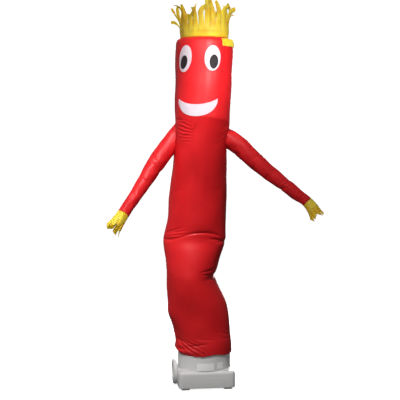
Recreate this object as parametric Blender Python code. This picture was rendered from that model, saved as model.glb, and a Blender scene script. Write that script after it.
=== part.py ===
"""An inflatable air dancer: a red cloth tube with a face, two arms, and yellow hands and hair,
standing on its blower. Metres, +Z up, and the front looks along -Y.
Angles round the tube start at the front and grow towards +X."""

import math
import random
import typing

import bmesh
import bpy
import numpy as np

# Where the blower's axis stands, measured from the middle of the whole object's box.
AXIS_X = -0.068
AXIS_Y = 0.117

# Sheets and seams
CLOTH = 0.0015
PATCH = 0.0012
GAP = 0.0003

# Body tube: rings are counted off between these heights, closer at the creases.
SIDES = 28
HEM = 0.172
CROWN = 1.781
RING_ZONES = (  # top of the zone, rings in it
    (0.330, 7),
    (0.530, 5),
    (0.630, 6),
    (0.710, 3),
    (0.810, 8),
    (1.120, 6),
    (1.400, 8),
    (1.735, 6),
    (CROWN, 5),
)
TUBE = (  # height, left edge, right edge, middle in depth, half depth
    (0.172, -0.1500, 0.1443, 0.000, 0.146),
    (0.193, -0.1541, 0.1438, 0.000, 0.148),
    (0.230, -0.1495, 0.1418, -0.003, 0.145),
    (0.278, -0.1562, 0.1381, -0.003, 0.143),
    (0.330, -0.1690, 0.1345, -0.010, 0.142),
    (0.383, -0.1870, 0.1285, -0.020, 0.141),
    (0.440, -0.1892, 0.1129, -0.031, 0.142),
    (0.488, -0.1902, 0.0928, -0.038, 0.145),
    (0.542, -0.1918, 0.0700, -0.043, 0.149),
    (0.579, -0.1933, 0.0598, -0.044, 0.151),
    (0.620, -0.1955, 0.0690, -0.043, 0.149),
    (0.663, -0.1979, 0.0804, -0.040, 0.147),
    (0.719, -0.2065, 0.0990, -0.035, 0.142),
    (0.762, -0.2093, 0.1115, -0.031, 0.137),
    (0.807, -0.2021, 0.1124, -0.032, 0.138),
    (0.859, -0.1905, 0.1129, -0.037, 0.141),
    (0.999, -0.1778, 0.1170, -0.051, 0.143),
    (1.169, -0.1567, 0.1170, -0.076, 0.150),
    (1.221, -0.1500, 0.1175, -0.084, 0.152),
    (1.334, -0.1459, 0.1278, -0.099, 0.152),
    (1.380, -0.1464, 0.1305, -0.103, 0.151),
    (1.426, -0.1479, 0.1325, -0.102, 0.150),
    (1.579, -0.1454, 0.1392, -0.088, 0.148),
    (1.735, -0.1437, 0.1444, -0.075, 0.146),
    (1.757, -0.1408, 0.1420, -0.073, 0.143),
    (1.772, -0.1340, 0.1355, -0.072, 0.136),
    (1.781, -0.1195, 0.1215, -0.072, 0.1215),
)
CREASES = (  # height, angle, reach, depth, half height, rise per radian
    (0.205, -48, 42, 0.007, 0.010, 0.010),
    (0.245, -55, 40, 0.008, 0.012, -0.020),
    (0.579, 96, 70, 0.014, 0.013, 0.012),
    (0.590, 150, 60, 0.010, 0.014, -0.010),
    (0.756, 70, 40, 0.010, 0.009, -0.006),
    (0.793, -6, 34, 0.013, 0.010, 0.040),
    (0.793, 42, 36, 0.014, 0.010, -0.038),
    (0.768, -62, 34, 0.006, 0.009, 0.010),
    (1.300, -50, 26, 0.005, 0.011, 0.000),
    (1.375, -46, 40, 0.006, 0.012, 0.020),
    (1.372, 30, 46, 0.004, 0.018, -0.012),
)
HEM_LIFT_FADE = 0.060
HEM_LIFTS = (  # angle, reach, lift
    (-88, 40, 0.012),
    (24, 30, 0.009),
    (150, 50, 0.006),
)
# The hem is pulled in against the drum on its left side.
HEM_PULL_HEIGHT = 0.168
HEM_PULL_HALF = 0.015
HEM_PULL_DEPTH = 0.020
HEM_PULL_ANGLE = -90
HEM_PULL_REACH = 100

# Arms and hands: each row is a point on the sleeve's middle line and the sleeve's radius there.
ARM_SIDES = 14
ARM_LEFT = (  # x, y, z, radius
    (-0.0880, -0.074, 1.3540, 0.0465),
    (-0.1570, -0.092, 1.2700, 0.0465),
    (-0.2355, -0.146, 1.1630, 0.0455),
    (-0.2945, -0.207, 1.0680, 0.0370),
    (-0.3440, -0.262, 0.9900, 0.0315),
    (-0.3930, -0.317, 0.9155, 0.0300),
    (-0.4190, -0.343, 0.8760, 0.0335),
    (-0.4450, -0.369, 0.8360, 0.0390),
)
ARM_RIGHT = (
    (0.0800, -0.088, 1.2900, 0.0485),
    (0.1280, -0.090, 1.2760, 0.0490),
    (0.1790, -0.091, 1.2400, 0.0475),
    (0.2190, -0.092, 1.2030, 0.0455),
    (0.3063, -0.094, 1.1256, 0.0405),
    (0.4077, -0.097, 1.0470, 0.0340),
    (0.4660, -0.098, 1.0012, 0.0320),
    (0.5212, -0.100, 0.9594, 0.0280),
    (0.5480, -0.106, 0.9290, 0.0310),
    (0.5700, -0.115, 0.8880, 0.0340),
)
ARM_RINGS = 16
ARM_LENGTH = {"left": 0.594, "right": 0.555}
BORE_START = 0.004
BORE_END = 0.190
BORE_RINGS = 8
SHOULDER_FOOT = 1.09
SHOULDER_TOP = 1.42
CUFF_LENGTH = 0.046
CUFF_RINGS = 3
STRIP_ROOT = 0.008
FINGERS = 8
FINGER_SHARE = 0.80
FINGER_STEPS = 4
FINGER_LENGTHS = (0.040, 0.055)
FINGER_LEANS = (4.0, 22.0)
FINGER_TURN = 6.0
FINGER_WAVE = 10.0
FINGER_TAPER = 0.35

# Hair
HAIR_BAND_HEIGHT = 0.028
HAIR_FLARE = 0.10
HAIR_STRIPS = 26
HAIR_SHARE = 0.93
HAIR_STEPS = 8
HAIR_LENGTHS = (0.107, 0.145)
# Every second strip leans further out and waves the other way.
HAIR_LEANS = (6.0, 23.0)
HAIR_PHASES = (0.0, 2.0)
HAIR_LEAN_SPREAD = 3.0
HAIR_TURN = 8.0
HAIR_WAVES = (8.0, 18.0)
HAIR_TAPER = 0.12
WAVE_TURN = 5.0
LEAN_START = 0.7
LOOSE_STRIPS = {  # strip: length, lean at the tip, turn to the side at the tip
    18: (0.128, 22.0, 6.0),
    19: (0.072, 92.0, -3.0),
    20: (0.118, 52.0, 6.0),
    5: (0.120, 30.0, 4.0),
    0: (0.158, 4.0, 4.0),
}

# Face: angles round the head in degrees, heights in metres.
EYE_WIDTH = 0.082
EYES = {  # angle at the middle, foot, top, turn of the top against the foot
    "left": (-40.0, 1.606, 1.738, 5.0),
    "right": (17.0, 1.611, 1.736, 1.0),
}
PUPIL_WIDTH = 0.044
PUPILS = {
    "left": (-41.5, 1.621, 1.688, 4.0),
    "right": (19.2, 1.621, 1.690, 1.0),
}
OVAL_ROWS = 13
OVAL_TIP = 9.0
MOUTH_FROM = -56.0
MOUTH_TO = 30.5
MOUTH_CORNER = 1.476
MOUTH_UPPER = 1.447
MOUTH_LOWER = 1.389
MOUTH_COLUMNS = 15
MOUTH_BLUNT = 0.016
HEAD_RADIUS = 0.146
OUTLINE_NEAR = 0.85
OUTLINE_FAR = 1.15
FLAP_SIDES = (3, 8)
FLAP_FOOT = 1.7352
FLAP_TOP = 1.7715
FLAP_STAND_OFF = 0.0075

# Blower
YAW = 7.0
BOX_WIDTH = 0.290
BOX_DEPTH = 0.280
BOX_FOOT = 0.010
BOX_TOP = 0.095
BOX_CORNER = 0.020
BOX_SHOULDER = 0.016
DRUM_RADIUS = 0.136
DRUM_SIDES = 48
DRUM_TOP = 0.240
DRUM_WALL = 0.003
BORE_FLOOR = 0.016
FOOT_SIZE = (0.042, 0.046)
FOOT_INSET = 0.036
FOOT_CORNER = 0.008
INTAKE_HEIGHT = 0.071
INTAKE_SIDES = 32
INTAKE_PROFILE = (  # radius, distance out from the housing's side
    (0.066, 0.000),
    (0.066, 0.012),
    (0.062, 0.018),
    (0.052, 0.020),
    (0.047, 0.018),
    (0.045, 0.010),
    (0.036, 0.010),
    (0.034, 0.014),
    (0.030, 0.014),
    (0.028, 0.010),
    (0.018, 0.010),
    (0.016, 0.014),
    (0.006, 0.014),
)
PLATES = {  # first facet, last facet, foot, top
    "large": (-3, 2, 0.100, 0.137),
    "small": (3, 5, 0.106, 0.139),
}
PLATE_THICKNESS = 0.001
GLAND_PLACE = (0.080, 0.045)
GLAND_SIDES = 16
GLAND_PROFILE = (  # radius, distance out from the housing's rear
    (0.0104, 0.000),
    (0.0104, 0.003),
    (0.0080, 0.004),
    (0.0064, 0.014),
)

TURN = 2 * math.pi
NEARBY = 0.001
FORWARD = np.array([0.0, -1.0, 0.0])
EVEN_ANGLES = np.arange(ARM_SIDES) * TURN / ARM_SIDES

# Finishes: colour, roughness
RED_NYLON = ((0.62, 0.012, 0.014), 0.42)
YELLOW_NYLON = ((0.93, 0.60, 0.03), 0.45)
WHITE_CLOTH = ((0.86, 0.84, 0.87), 0.60)
BLACK_CLOTH = ((0.03, 0.022, 0.028), 0.60)
GREY_PLASTIC = ((0.42, 0.415, 0.40), 0.50)
PALE_PLASTIC = ((0.60, 0.60, 0.58), 0.50)


def through(knots, values, places):
    """Read a smooth curve through a table's rows at the places asked for."""
    slopes = np.gradient(values, knots, axis=0)
    row = np.clip(np.searchsorted(knots, places, side="right") - 1, 0, len(knots) - 2)
    step = (knots[row + 1] - knots[row])[:, None]
    part = (places - knots[row])[:, None] / step
    start = (1 + 2 * part) * (1 - part) ** 2 * values[row]
    start += part * (1 - part) ** 2 * step * slopes[row]
    end = part**2 * (3 - 2 * part) * values[row + 1]
    end += part**2 * (part - 1) * step * slopes[row + 1]
    return start + end


def window(distance, reach):
    """Fall smoothly from 1 at no distance to 0 at the reach."""
    return np.where(np.abs(distance) < reach, np.cos(distance / reach * math.pi / 2) ** 2, 0.0)


def turned_from(angles, middle):
    """Angle from the middle, between minus half a turn and half a turn."""
    return (angles - middle + math.pi) % TURN - math.pi


def ring_heights():
    heights = [HEM]
    for top, rings in RING_ZONES:
        foot = heights[-1]
        heights += [foot + (top - foot) * (ring + 1) / rings for ring in range(rings)]
    return np.array(heights)


def tube_grid(heights):
    """Points on the tube's outer face: a ring for each height, from the front round by the right."""
    table = np.array(TUBE)
    left, right, middle, half_depth = through(table[:, 0], table[:, 1:], heights).T[:, :, None]
    angles = np.arange(SIDES) * TURN / SIDES
    level = heights[:, None]
    pressed = np.zeros((len(heights), SIDES))
    for height, angle, reach, depth, half_height, rise in CREASES:
        aside = turned_from(angles, math.radians(angle))
        from_line = (level - height - rise * aside) / half_height
        pressed += depth * window(aside, math.radians(reach)) * np.exp(-(from_line**2))
    aside = turned_from(angles, math.radians(HEM_PULL_ANGLE))
    held = np.exp(-(((level - HEM_PULL_HEIGHT) / HEM_PULL_HALF) ** 4))
    pressed += HEM_PULL_DEPTH * held * window(aside, math.radians(HEM_PULL_REACH))
    x = (left + right) / 2 + ((right - left) / 2 - pressed) * np.sin(angles)
    y = middle - (half_depth - pressed) * np.cos(angles)
    # The cloth lies against the drum and never passes into it.
    reach = np.hypot(x, y)
    least = (DRUM_RADIUS + GAP) / math.cos(math.pi / SIDES) + CLOTH
    widened = np.where(level < DRUM_TOP + HEM_PULL_HALF, np.maximum(reach, least) / reach, 1.0)
    z = np.broadcast_to(level, x.shape).copy()
    for angle, span, lift in HEM_LIFTS:
        raised = lift * window(turned_from(angles, math.radians(angle)), math.radians(span))
        z += raised * np.clip((HEM - level) / HEM_LIFT_FADE + 1, 0, 1)
    return np.stack([x * widened, y * widened, z], axis=2)


def outward(grid):
    """Unit normals of a closed grid of rings, away from its middle line."""
    along = np.gradient(grid, axis=0)
    around = np.roll(grid, -1, axis=1) - np.roll(grid, 1, axis=1)
    normal = np.cross(around, along)
    return normal / np.linalg.norm(normal, axis=2, keepdims=True)


def new_object(name, points, faces, finish=None, parent=None):
    """A mesh object with its faces turned outwards."""
    mesh = bpy.data.meshes.new(name)
    mesh.from_pydata([tuple(point) for point in points], [], faces)
    work = bmesh.new()
    work.from_mesh(mesh)
    bmesh.ops.recalc_face_normals(work, faces=work.faces)
    work.to_mesh(mesh)
    work.free()
    mesh.shade_smooth()
    mesh.set_sharp_from_angle(angle=math.radians(40))
    made = bpy.data.objects.new(name, mesh)
    bpy.context.scene.collection.objects.link(made)
    made.parent = parent
    if finish:
        mesh.materials.append(coat(name, *finish))
    else:
        made.hide_render = True
        made.display_type = "WIRE"
    return made


def coat(name, colour, roughness):
    made = bpy.data.materials.new(name)
    made.use_nodes = True
    shader = made.node_tree.nodes["Principled BSDF"]
    shader.inputs["Base Color"].default_value = (*colour, 1.0)
    shader.inputs["Roughness"].default_value = roughness
    shader.inputs["Metallic"].default_value = 0.0
    return made


def sheet(front, back, closed):
    """Points and faces of the solid between two grids, [rows, columns, 3].
    A closed sheet joins its last column to its first."""
    rows, columns = front.shape[:2]
    behind = rows * columns
    points = np.concatenate([front.reshape(-1, 3), back.reshape(-1, 3)])
    spans = columns if closed else columns - 1
    faces = []
    for column in range(spans):
        following = (column + 1) % columns
        for row in range(rows - 1):
            near, far = row * columns + column, row * columns + following
            above, beyond = near + columns, far + columns
            faces += [(near, far, beyond), (near, beyond, above)]
            faces += [(behind + near, behind + beyond, behind + far)]
            faces += [(behind + near, behind + above, behind + beyond)]
        for row in (0, rows - 1):
            near, far = row * columns + column, row * columns + following
            faces.append((near, behind + near, behind + far, far))
    if not closed:
        for column in (0, columns - 1):
            for row in range(rows - 1):
                near = row * columns + column
                above = near + columns
                faces.append((near, above, behind + above, behind + near))
    return points, faces


def plug(grid):
    """Points and faces of the solid that fills a grid of closed rings."""
    rows, columns = grid.shape[:2]
    faces = []
    for row in range(rows - 1):
        for column in range(columns):
            near = row * columns + column
            far = row * columns + (column + 1) % columns
            faces += [(near, far, far + columns), (near, far + columns, near + columns)]
    faces.append(tuple(range(columns)))
    faces.append(tuple(range((rows - 1) * columns, rows * columns)))
    return grid.reshape(-1, 3), faces


def boolean(target, cutter, operation):
    change = target.modifiers.new(f"{operation.lower()} {cutter.name}", "BOOLEAN")
    change.operation = operation
    change.object = cutter


def sleeve_line(rows):
    """A sleeve's middle line and radius, as a function of the length along it."""
    rows = np.array(rows)
    steps = np.linalg.norm(np.diff(rows[:, :3], axis=0), axis=1)
    knots = np.concatenate([[0.0], np.cumsum(steps)])
    return lambda lengths: through(knots, rows, np.asarray(lengths))


def sleeve_grid(line, lengths, inset=0.0, angles=EVEN_ANGLES):
    """Rings of a sleeve square to its middle line, at the lengths asked for."""
    places = line(lengths)
    heading = line(lengths + NEARBY)[:, :3] - line(lengths - NEARBY)[:, :3]
    heading /= np.linalg.norm(heading, axis=1, keepdims=True)
    front = FORWARD - heading * (heading @ FORWARD)[:, None]
    front /= np.linalg.norm(front, axis=1, keepdims=True)
    side = np.cross(front, heading)
    around = front[:, None] * np.cos(angles)[:, None] + side[:, None] * np.sin(angles)[:, None]
    return places[:, None, :3] + (places[:, 3] - inset)[:, None, None] * around


def sleeve(name, line, start, end, rings, colour, parent):
    lengths = np.linspace(start, end, rings)
    outer = sleeve_grid(line, lengths)
    inner = sleeve_grid(line, lengths, CLOTH)
    return new_object(name, *sheet(outer, inner, closed=True), colour, parent)


def strip_angles(count, share):
    """Where the strips of a slit edge begin and end round it."""
    pitch = TURN / count
    starts = np.arange(count) * pitch
    return np.stack([starts, starts + pitch * share], axis=1).ravel()


def slit_edge(name, outer, inner, walks, colour, parent):
    """A narrow closed strip of cloth, from a low and a high ring of its two faces,
    with loose strips rising from every second span of its upper edge."""
    points, faces = sheet(outer, inner, closed=True)
    points = [tuple(point) for point in points]
    columns = outer.shape[1]
    behind = 2 * columns
    for strip, walk in enumerate(walks):
        near, far = columns + 2 * strip, columns + 2 * strip + 1
        last = (near, far, behind + far, behind + near)
        faces.remove((near, behind + near, behind + far, far))
        for corners in walk:
            fresh = tuple(range(len(points), len(points) + 4))
            points += [tuple(corner) for corner in corners]
            for corner in range(4):
                beside = (corner + 1) % 4
                faces.append((last[corner], last[beside], fresh[beside], fresh[corner]))
            last = fresh
        faces.append(last)
    return new_object(name, points, faces, colour, parent)


class Bend(typing.NamedTuple):
    """How a strip bends: degrees of lean outwards and turn to the side at its tip,
    and a wave that grows towards the tip."""

    length: float
    lean: float
    turn: float
    wave: float
    phase: float
    taper: float


def strip_walk(root, up, steps, bend):
    """Corners of a flat strip, step by step from the four corners of its root."""
    across = root[1] - root[0]
    width = np.linalg.norm(across)
    across = across / width
    outwards = root[0] + root[1] - root[2] - root[3]
    outwards = outwards - across * (outwards @ across) - up * (outwards @ up)
    outwards /= np.linalg.norm(outwards)
    middle = sum(root) / 4
    walk = []
    for step in range(1, steps + 1):
        share = step / steps
        wave = bend.wave * math.sin(bend.phase + WAVE_TURN * share) * share
        tilt = math.radians(bend.lean * share**LEAN_START + wave)
        aside = math.radians(bend.turn * share)
        climb = up * math.cos(aside) + across * math.sin(aside)
        wide = across * math.cos(aside) - up * math.sin(aside)
        heading = climb * math.cos(tilt) + outwards * math.sin(tilt)
        thick = outwards * math.cos(tilt) - climb * math.sin(tilt)
        middle = middle + heading * bend.length / steps
        half = wide * width * (1 - bend.taper * share) / 2
        deep = thick * CLOTH / 2
        edges = (middle - half + deep, middle + half + deep)
        walk.append(edges + (middle + half - deep, middle - half - deep))
    return walk


def body_tube(parent):
    """Torso and head in one length of cloth, open at the hem and the crown."""
    heights = ring_heights()
    outer = tube_grid(heights)
    inner = outer - CLOTH * outward(outer)
    return new_object("body_tube", *sheet(outer, inner, closed=True), RED_NYLON, parent)


def arm(side, rows, body, shoulder, parent):
    """A sleeve cut to the body's side, the armhole it is sewn into, its cuff and its fingers."""
    line = sleeve_line(rows)
    wrist = ARM_LENGTH[side]
    made = sleeve(f"arm_{side}", line, 0.0, wrist, ARM_RINGS, RED_NYLON, parent)
    boolean(made, shoulder, "DIFFERENCE")
    bore = sleeve_grid(line, np.linspace(BORE_START, BORE_END, BORE_RINGS), CLOTH)
    boolean(body, new_object(f"armhole {side}", *plug(bore), None, parent), "DIFFERENCE")
    cuff_end = wrist + GAP + CUFF_LENGTH
    sleeve(f"cuff_{side}", line, wrist + GAP, cuff_end, CUFF_RINGS, YELLOW_NYLON, parent)
    angles = strip_angles(FINGERS, FINGER_SHARE)
    lengths = cuff_end + np.array([GAP, STRIP_ROOT])
    outer = sleeve_grid(line, lengths, 0.0, angles)
    inner = sleeve_grid(line, lengths, CLOTH, angles)
    up = np.diff(line(lengths)[:, :3], axis=0)[0]
    up /= np.linalg.norm(up)
    chance = random.Random(f"fingers {side}")
    walks = []
    for finger in range(FINGERS):
        root = root_corners(outer, inner, finger)
        bend = Bend(
            length=chance.uniform(*FINGER_LENGTHS),
            lean=chance.uniform(*FINGER_LEANS),
            turn=chance.uniform(-FINGER_TURN, FINGER_TURN),
            wave=chance.uniform(-FINGER_WAVE, FINGER_WAVE),
            phase=0.0,
            taper=FINGER_TAPER,
        )
        walks.append(strip_walk(root, up, FINGER_STEPS, bend))
    slit_edge(f"fingers_{side}", outer, inner, walks, YELLOW_NYLON, parent)


def root_corners(outer, inner, strip):
    near, far = 2 * strip, 2 * strip + 1
    return outer[1, near], outer[1, far], inner[1, far], inner[1, near]


def hair(parent):
    """The unslit ring on the crown, and the strips above it."""
    crown = tube_grid(np.array([CROWN]))[0]
    middle = (crown.min(axis=0) + crown.max(axis=0)) / 2
    radius = (crown[:, 0].max() - crown[:, 0].min()) / 2
    angles = strip_angles(HAIR_STRIPS, HAIR_SHARE)

    def ring(height, inset):
        wide = radius + HAIR_FLARE * height - inset
        low = np.stack([np.sin(angles), -np.cos(angles), 0 * angles], axis=1) * wide
        return low + (middle[0], middle[1], CROWN + GAP + height)

    levels = (0.0, HAIR_BAND_HEIGHT / 2, HAIR_BAND_HEIGHT)
    outer = np.stack([ring(level, 0.0) for level in levels])
    inner = np.stack([ring(level, CLOTH) for level in levels])
    new_object("hair_band", *sheet(outer, inner, closed=True), YELLOW_NYLON, parent)
    levels = (HAIR_BAND_HEIGHT + GAP, HAIR_BAND_HEIGHT + STRIP_ROOT)
    outer = np.stack([ring(level, 0.0) for level in levels])
    inner = np.stack([ring(level, CLOTH) for level in levels])
    up = np.array([0.0, 0.0, 1.0])
    chance = random.Random("hair")
    walks = []
    for strip in range(HAIR_STRIPS):
        length = chance.uniform(*HAIR_LENGTHS)
        lean = HAIR_LEANS[strip % 2] + chance.uniform(-HAIR_LEAN_SPREAD, HAIR_LEAN_SPREAD)
        turn = chance.uniform(-HAIR_TURN, HAIR_TURN)
        if strip in LOOSE_STRIPS:
            length, lean, turn = LOOSE_STRIPS[strip]
        wave = chance.uniform(*HAIR_WAVES)
        bend = Bend(length, lean, turn, wave, HAIR_PHASES[strip % 2], HAIR_TAPER)
        walks.append(strip_walk(root_corners(outer, inner, strip), up, HAIR_STEPS, bend))
    slit_edge("hair", outer, inner, walks, YELLOW_NYLON, parent)


def head_rings(foot, top):
    """The tube's rings that reach from below the foot to above the top."""
    heights = ring_heights()
    first = np.searchsorted(heights, foot, side="right") - 1
    last = np.searchsorted(heights, top)
    return heights[first : last + 1]


def patch(name, pairs, under, colour, parent):
    """A face patch: the part of a thin shell over the head that lies between pairs of points.
    Each pair is two (angle in degrees, height) points on opposite edges."""
    pairs = np.array(pairs)
    levels = pairs[:, :, 1]
    rings = tube_grid(head_rings(levels.min(), levels.max()))
    normal = outward(rings)
    shell = sheet(rings + normal * (under + PATCH), rings + normal * under, closed=True)
    made = new_object(name, *shell, colour, parent)
    table = np.array(TUBE)
    left, right, middle, _ = through(table[:, 0], table[:, 1:], levels.ravel()).T
    angles = np.radians(pairs[:, :, 0].ravel())
    centre = np.stack([(left + right) / 2, middle, levels.ravel()], axis=1)
    away = np.stack([np.sin(angles), -np.cos(angles), 0 * angles], axis=1) * HEAD_RADIUS
    shape = (*levels.shape, 3)
    near = (centre + away * OUTLINE_NEAR).reshape(shape)
    far = (centre + away * OUTLINE_FAR).reshape(shape)
    cutter = new_object(f"outline {name}", *sheet(far, near, closed=False), None, parent)
    boolean(made, cutter, "INTERSECT")


def oval(angle, foot, top, turn, width):
    """Left and right edge points of an upright oval, row by row."""
    reach = math.degrees(width / 2 / HEAD_RADIUS)
    pairs = []
    for row in range(OVAL_ROWS):
        around = math.radians(OVAL_TIP + (180 - 2 * OVAL_TIP) * row / (OVAL_ROWS - 1))
        height = (foot + top) / 2 - (top - foot) / 2 * math.cos(around)
        middle = angle - turn / 2 * math.cos(around)
        half = reach * math.sin(around)
        pairs.append(((middle - half, height), (middle + half, height)))
    return pairs


def smile():
    """Lower and upper edge points of the mouth, column by column."""
    pairs = []
    for column in range(MOUTH_COLUMNS):
        share = MOUTH_BLUNT + (1 - 2 * MOUTH_BLUNT) * column / (MOUTH_COLUMNS - 1)
        angle = MOUTH_FROM + (MOUTH_TO - MOUTH_FROM) * share
        across = 2 * share - 1
        upper = MOUTH_UPPER + (MOUTH_CORNER - MOUTH_UPPER) * across**2
        lower = MOUTH_CORNER - (MOUTH_CORNER - MOUTH_LOWER) * (1 - across**2) ** 0.5
        pairs.append(((angle, lower), (angle, upper)))
    return pairs


def face(parent):
    for side, (angle, foot, top, turn) in EYES.items():
        patch(f"eye_{side}", oval(angle, foot, top, turn, EYE_WIDTH), GAP, WHITE_CLOTH, parent)
    above_eye = 2 * GAP + PATCH
    for side, (angle, foot, top, turn) in PUPILS.items():
        edges = oval(angle, foot, top, turn, PUPIL_WIDTH)
        patch(f"pupil_{side}", edges, above_eye, BLACK_CLOTH, parent)
    patch("mouth", smile(), GAP, WHITE_CLOTH, parent)


def hair_flap(parent):
    """A loose four-sided end of yellow cloth over the head's right shoulder."""
    rings = tube_grid(head_rings(FLAP_FOOT, FLAP_TOP))
    first, last = FLAP_SIDES
    normal = outward(rings)[:, first : last + 1]
    under = rings[:, first : last + 1]
    share = np.linspace(0, 1, last - first + 1)[None, :, None]
    away = GAP + FLAP_STAND_OFF * share**2
    back = under + normal * away
    solid = sheet(back + normal * CLOTH, back, closed=False)
    new_object("hair_flap", *solid, YELLOW_NYLON, parent)


def box(name, size, place, corner, colour, parent, shoulder=0.0):
    """A block with rounded upright edges and, where a shoulder is given, rounded top edges."""
    work = bmesh.new()
    bmesh.ops.create_cube(work, size=1.0)
    bmesh.ops.scale(work, vec=size, verts=work.verts)
    bmesh.ops.translate(work, vec=place, verts=work.verts)
    upright = [edge for edge in work.edges if abs(edge.verts[0].co.z - edge.verts[1].co.z) > GAP]
    bmesh.ops.bevel(work, geom=upright, offset=corner, segments=4, profile=0.5, affect="EDGES")
    if shoulder:
        top = place[2] + size[2] / 2 - GAP
        rim = [edge for edge in work.edges if min(end.co.z for end in edge.verts) > top]
        bmesh.ops.bevel(work, geom=rim, offset=shoulder, segments=3, profile=0.5, affect="EDGES")
    bmesh.ops.triangulate(work, faces=[face for face in work.faces if len(face.verts) > 4])
    work.verts.index_update()
    points = [tuple(vertex.co) for vertex in work.verts]
    faces = [tuple(vertex.index for vertex in face.verts) for face in work.faces]
    work.free()
    return new_object(name, points, faces, colour, parent)


def drum_rings(facets, radius, heights):
    """Rings at the drum's facet edges, about the blower's axis."""
    angles = facets * TURN / DRUM_SIDES
    around = np.stack([np.sin(angles), -np.cos(angles), 0 * angles], axis=1)
    return np.stack([around * radius + (0, 0, height) for height in heights])


def blower_housing(parent):
    """A low rounded box with the open drum that the cloth fits over."""
    block_height = BOX_TOP - BOX_FOOT
    place = (0.0, 0.0, BOX_FOOT + block_height / 2)
    size = (BOX_WIDTH, BOX_DEPTH, block_height)
    housing = box("blower_housing", size, place, BOX_CORNER, GREY_PLASTIC, parent, BOX_SHOULDER)
    facets = np.arange(DRUM_SIDES)
    drum = drum_rings(facets, DRUM_RADIUS, (BORE_FLOOR, DRUM_TOP))
    boolean(housing, new_object("drum", *plug(drum), None, parent), "UNION")
    bore = drum_rings(facets, DRUM_RADIUS - DRUM_WALL, (BORE_FLOOR, DRUM_TOP + DRUM_WALL))
    boolean(housing, new_object("drum bore", *plug(bore), None, parent), "DIFFERENCE")


def feet(parent):
    height = BOX_FOOT - GAP
    for front, depth in (("front", -1), ("rear", 1)):
        for side, across in (("left", -1), ("right", 1)):
            x = across * (BOX_WIDTH / 2 - FOOT_INSET)
            y = depth * (BOX_DEPTH / 2 - FOOT_INSET)
            size = (*FOOT_SIZE, height)
            place = (x, y, height / 2)
            box(f"foot_{front}_{side}", size, place, FOOT_CORNER, GREY_PLASTIC, parent)


def plates(parent):
    """Blank plates on the drum's front, bent to its facets."""
    for plate, (first, last, foot, top) in PLATES.items():
        facets = np.arange(first, last + 1)
        back = drum_rings(facets, DRUM_RADIUS + GAP, (foot, top))
        front = drum_rings(facets, DRUM_RADIUS + GAP + PLATE_THICKNESS, (foot, top))
        solid = sheet(front, back, closed=False)
        new_object(f"plate_{plate}", *solid, PALE_PLASTIC, parent)


def intake(parent):
    """The round air intake on the housing's left side, turned about an axis along X."""
    angles = np.arange(INTAKE_SIDES) * TURN / INTAKE_SIDES
    around = np.stack([0 * angles, np.cos(angles), np.sin(angles)], axis=1)
    side = BOX_WIDTH / 2 + GAP
    rings = [
        around * radius + (-side - out, 0.0, INTAKE_HEIGHT) for radius, out in INTAKE_PROFILE
    ]
    new_object("air_intake", *plug(np.stack(rings)), GREY_PLASTIC, parent)


def gland(parent):
    """The plain collar at the rear where a cord would enter."""
    angles = np.arange(GLAND_SIDES) * TURN / GLAND_SIDES
    around = np.stack([np.cos(angles), 0 * angles, np.sin(angles)], axis=1)
    x, z = GLAND_PLACE
    rear = BOX_DEPTH / 2 + GAP
    rings = [around * radius + (x, rear + out, z) for radius, out in GLAND_PROFILE]
    new_object("cord_gland", *plug(np.stack(rings)), GREY_PLASTIC, parent)


def empty(name, parent=None):
    made = bpy.data.objects.new(name, None)
    bpy.context.scene.collection.objects.link(made)
    made.parent = parent
    return made


def main():
    for old in list(bpy.data.objects):
        bpy.data.objects.remove(old, do_unlink=True)
    dancer = empty("air dancer")
    dancer.location = (AXIS_X, AXIS_Y, 0.0)
    body = body_tube(dancer)
    rings = tube_grid(head_rings(SHOULDER_FOOT, SHOULDER_TOP))
    swollen = rings + GAP * outward(rings)
    shoulder = new_object("shoulder", *plug(swollen), None, dancer)
    arm("left", ARM_LEFT, body, shoulder, dancer)
    arm("right", ARM_RIGHT, body, shoulder, dancer)
    hair(dancer)
    hair_flap(dancer)
    face(dancer)
    base = empty("blower", dancer)
    base.rotation_euler = (0.0, 0.0, math.radians(YAW))
    blower_housing(base)
    feet(base)
    intake(base)
    plates(base)
    gland(base)


main()
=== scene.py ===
# %% [markdown]
# An inflatable air dancer: a tube of thin red nylon with a sewn-on face, two sleeves, and yellow
# cuffs and hair cut into strips. It is held up by the air of a small grey blower.
# The construction was modelled and measured elsewhere and is loaded here as a fixed frame.
# This script dresses it: it makes the fine cloth over the plain solids, and every finish.

# %% Load the frame
import math
import random

import bmesh
import bpy
import numpy as np
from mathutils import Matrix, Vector


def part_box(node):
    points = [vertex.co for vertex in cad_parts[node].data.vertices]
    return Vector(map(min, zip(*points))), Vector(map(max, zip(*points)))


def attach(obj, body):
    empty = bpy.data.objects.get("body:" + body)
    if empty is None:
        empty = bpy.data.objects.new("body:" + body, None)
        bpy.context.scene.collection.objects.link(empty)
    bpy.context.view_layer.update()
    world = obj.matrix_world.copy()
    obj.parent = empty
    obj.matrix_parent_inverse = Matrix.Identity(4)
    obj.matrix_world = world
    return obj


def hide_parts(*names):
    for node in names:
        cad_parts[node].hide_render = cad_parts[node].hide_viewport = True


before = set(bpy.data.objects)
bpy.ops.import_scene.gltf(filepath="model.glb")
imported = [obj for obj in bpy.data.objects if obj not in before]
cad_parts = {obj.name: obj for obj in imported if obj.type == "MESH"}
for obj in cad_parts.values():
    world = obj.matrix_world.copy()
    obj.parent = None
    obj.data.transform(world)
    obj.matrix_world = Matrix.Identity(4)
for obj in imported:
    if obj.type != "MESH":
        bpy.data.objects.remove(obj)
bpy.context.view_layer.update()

# %% [markdown]
# Everything is measured from the blower's upright axis, which runs through the middle of its
# housing. Reading that place from the frame keeps the cloth on its blower.

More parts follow.
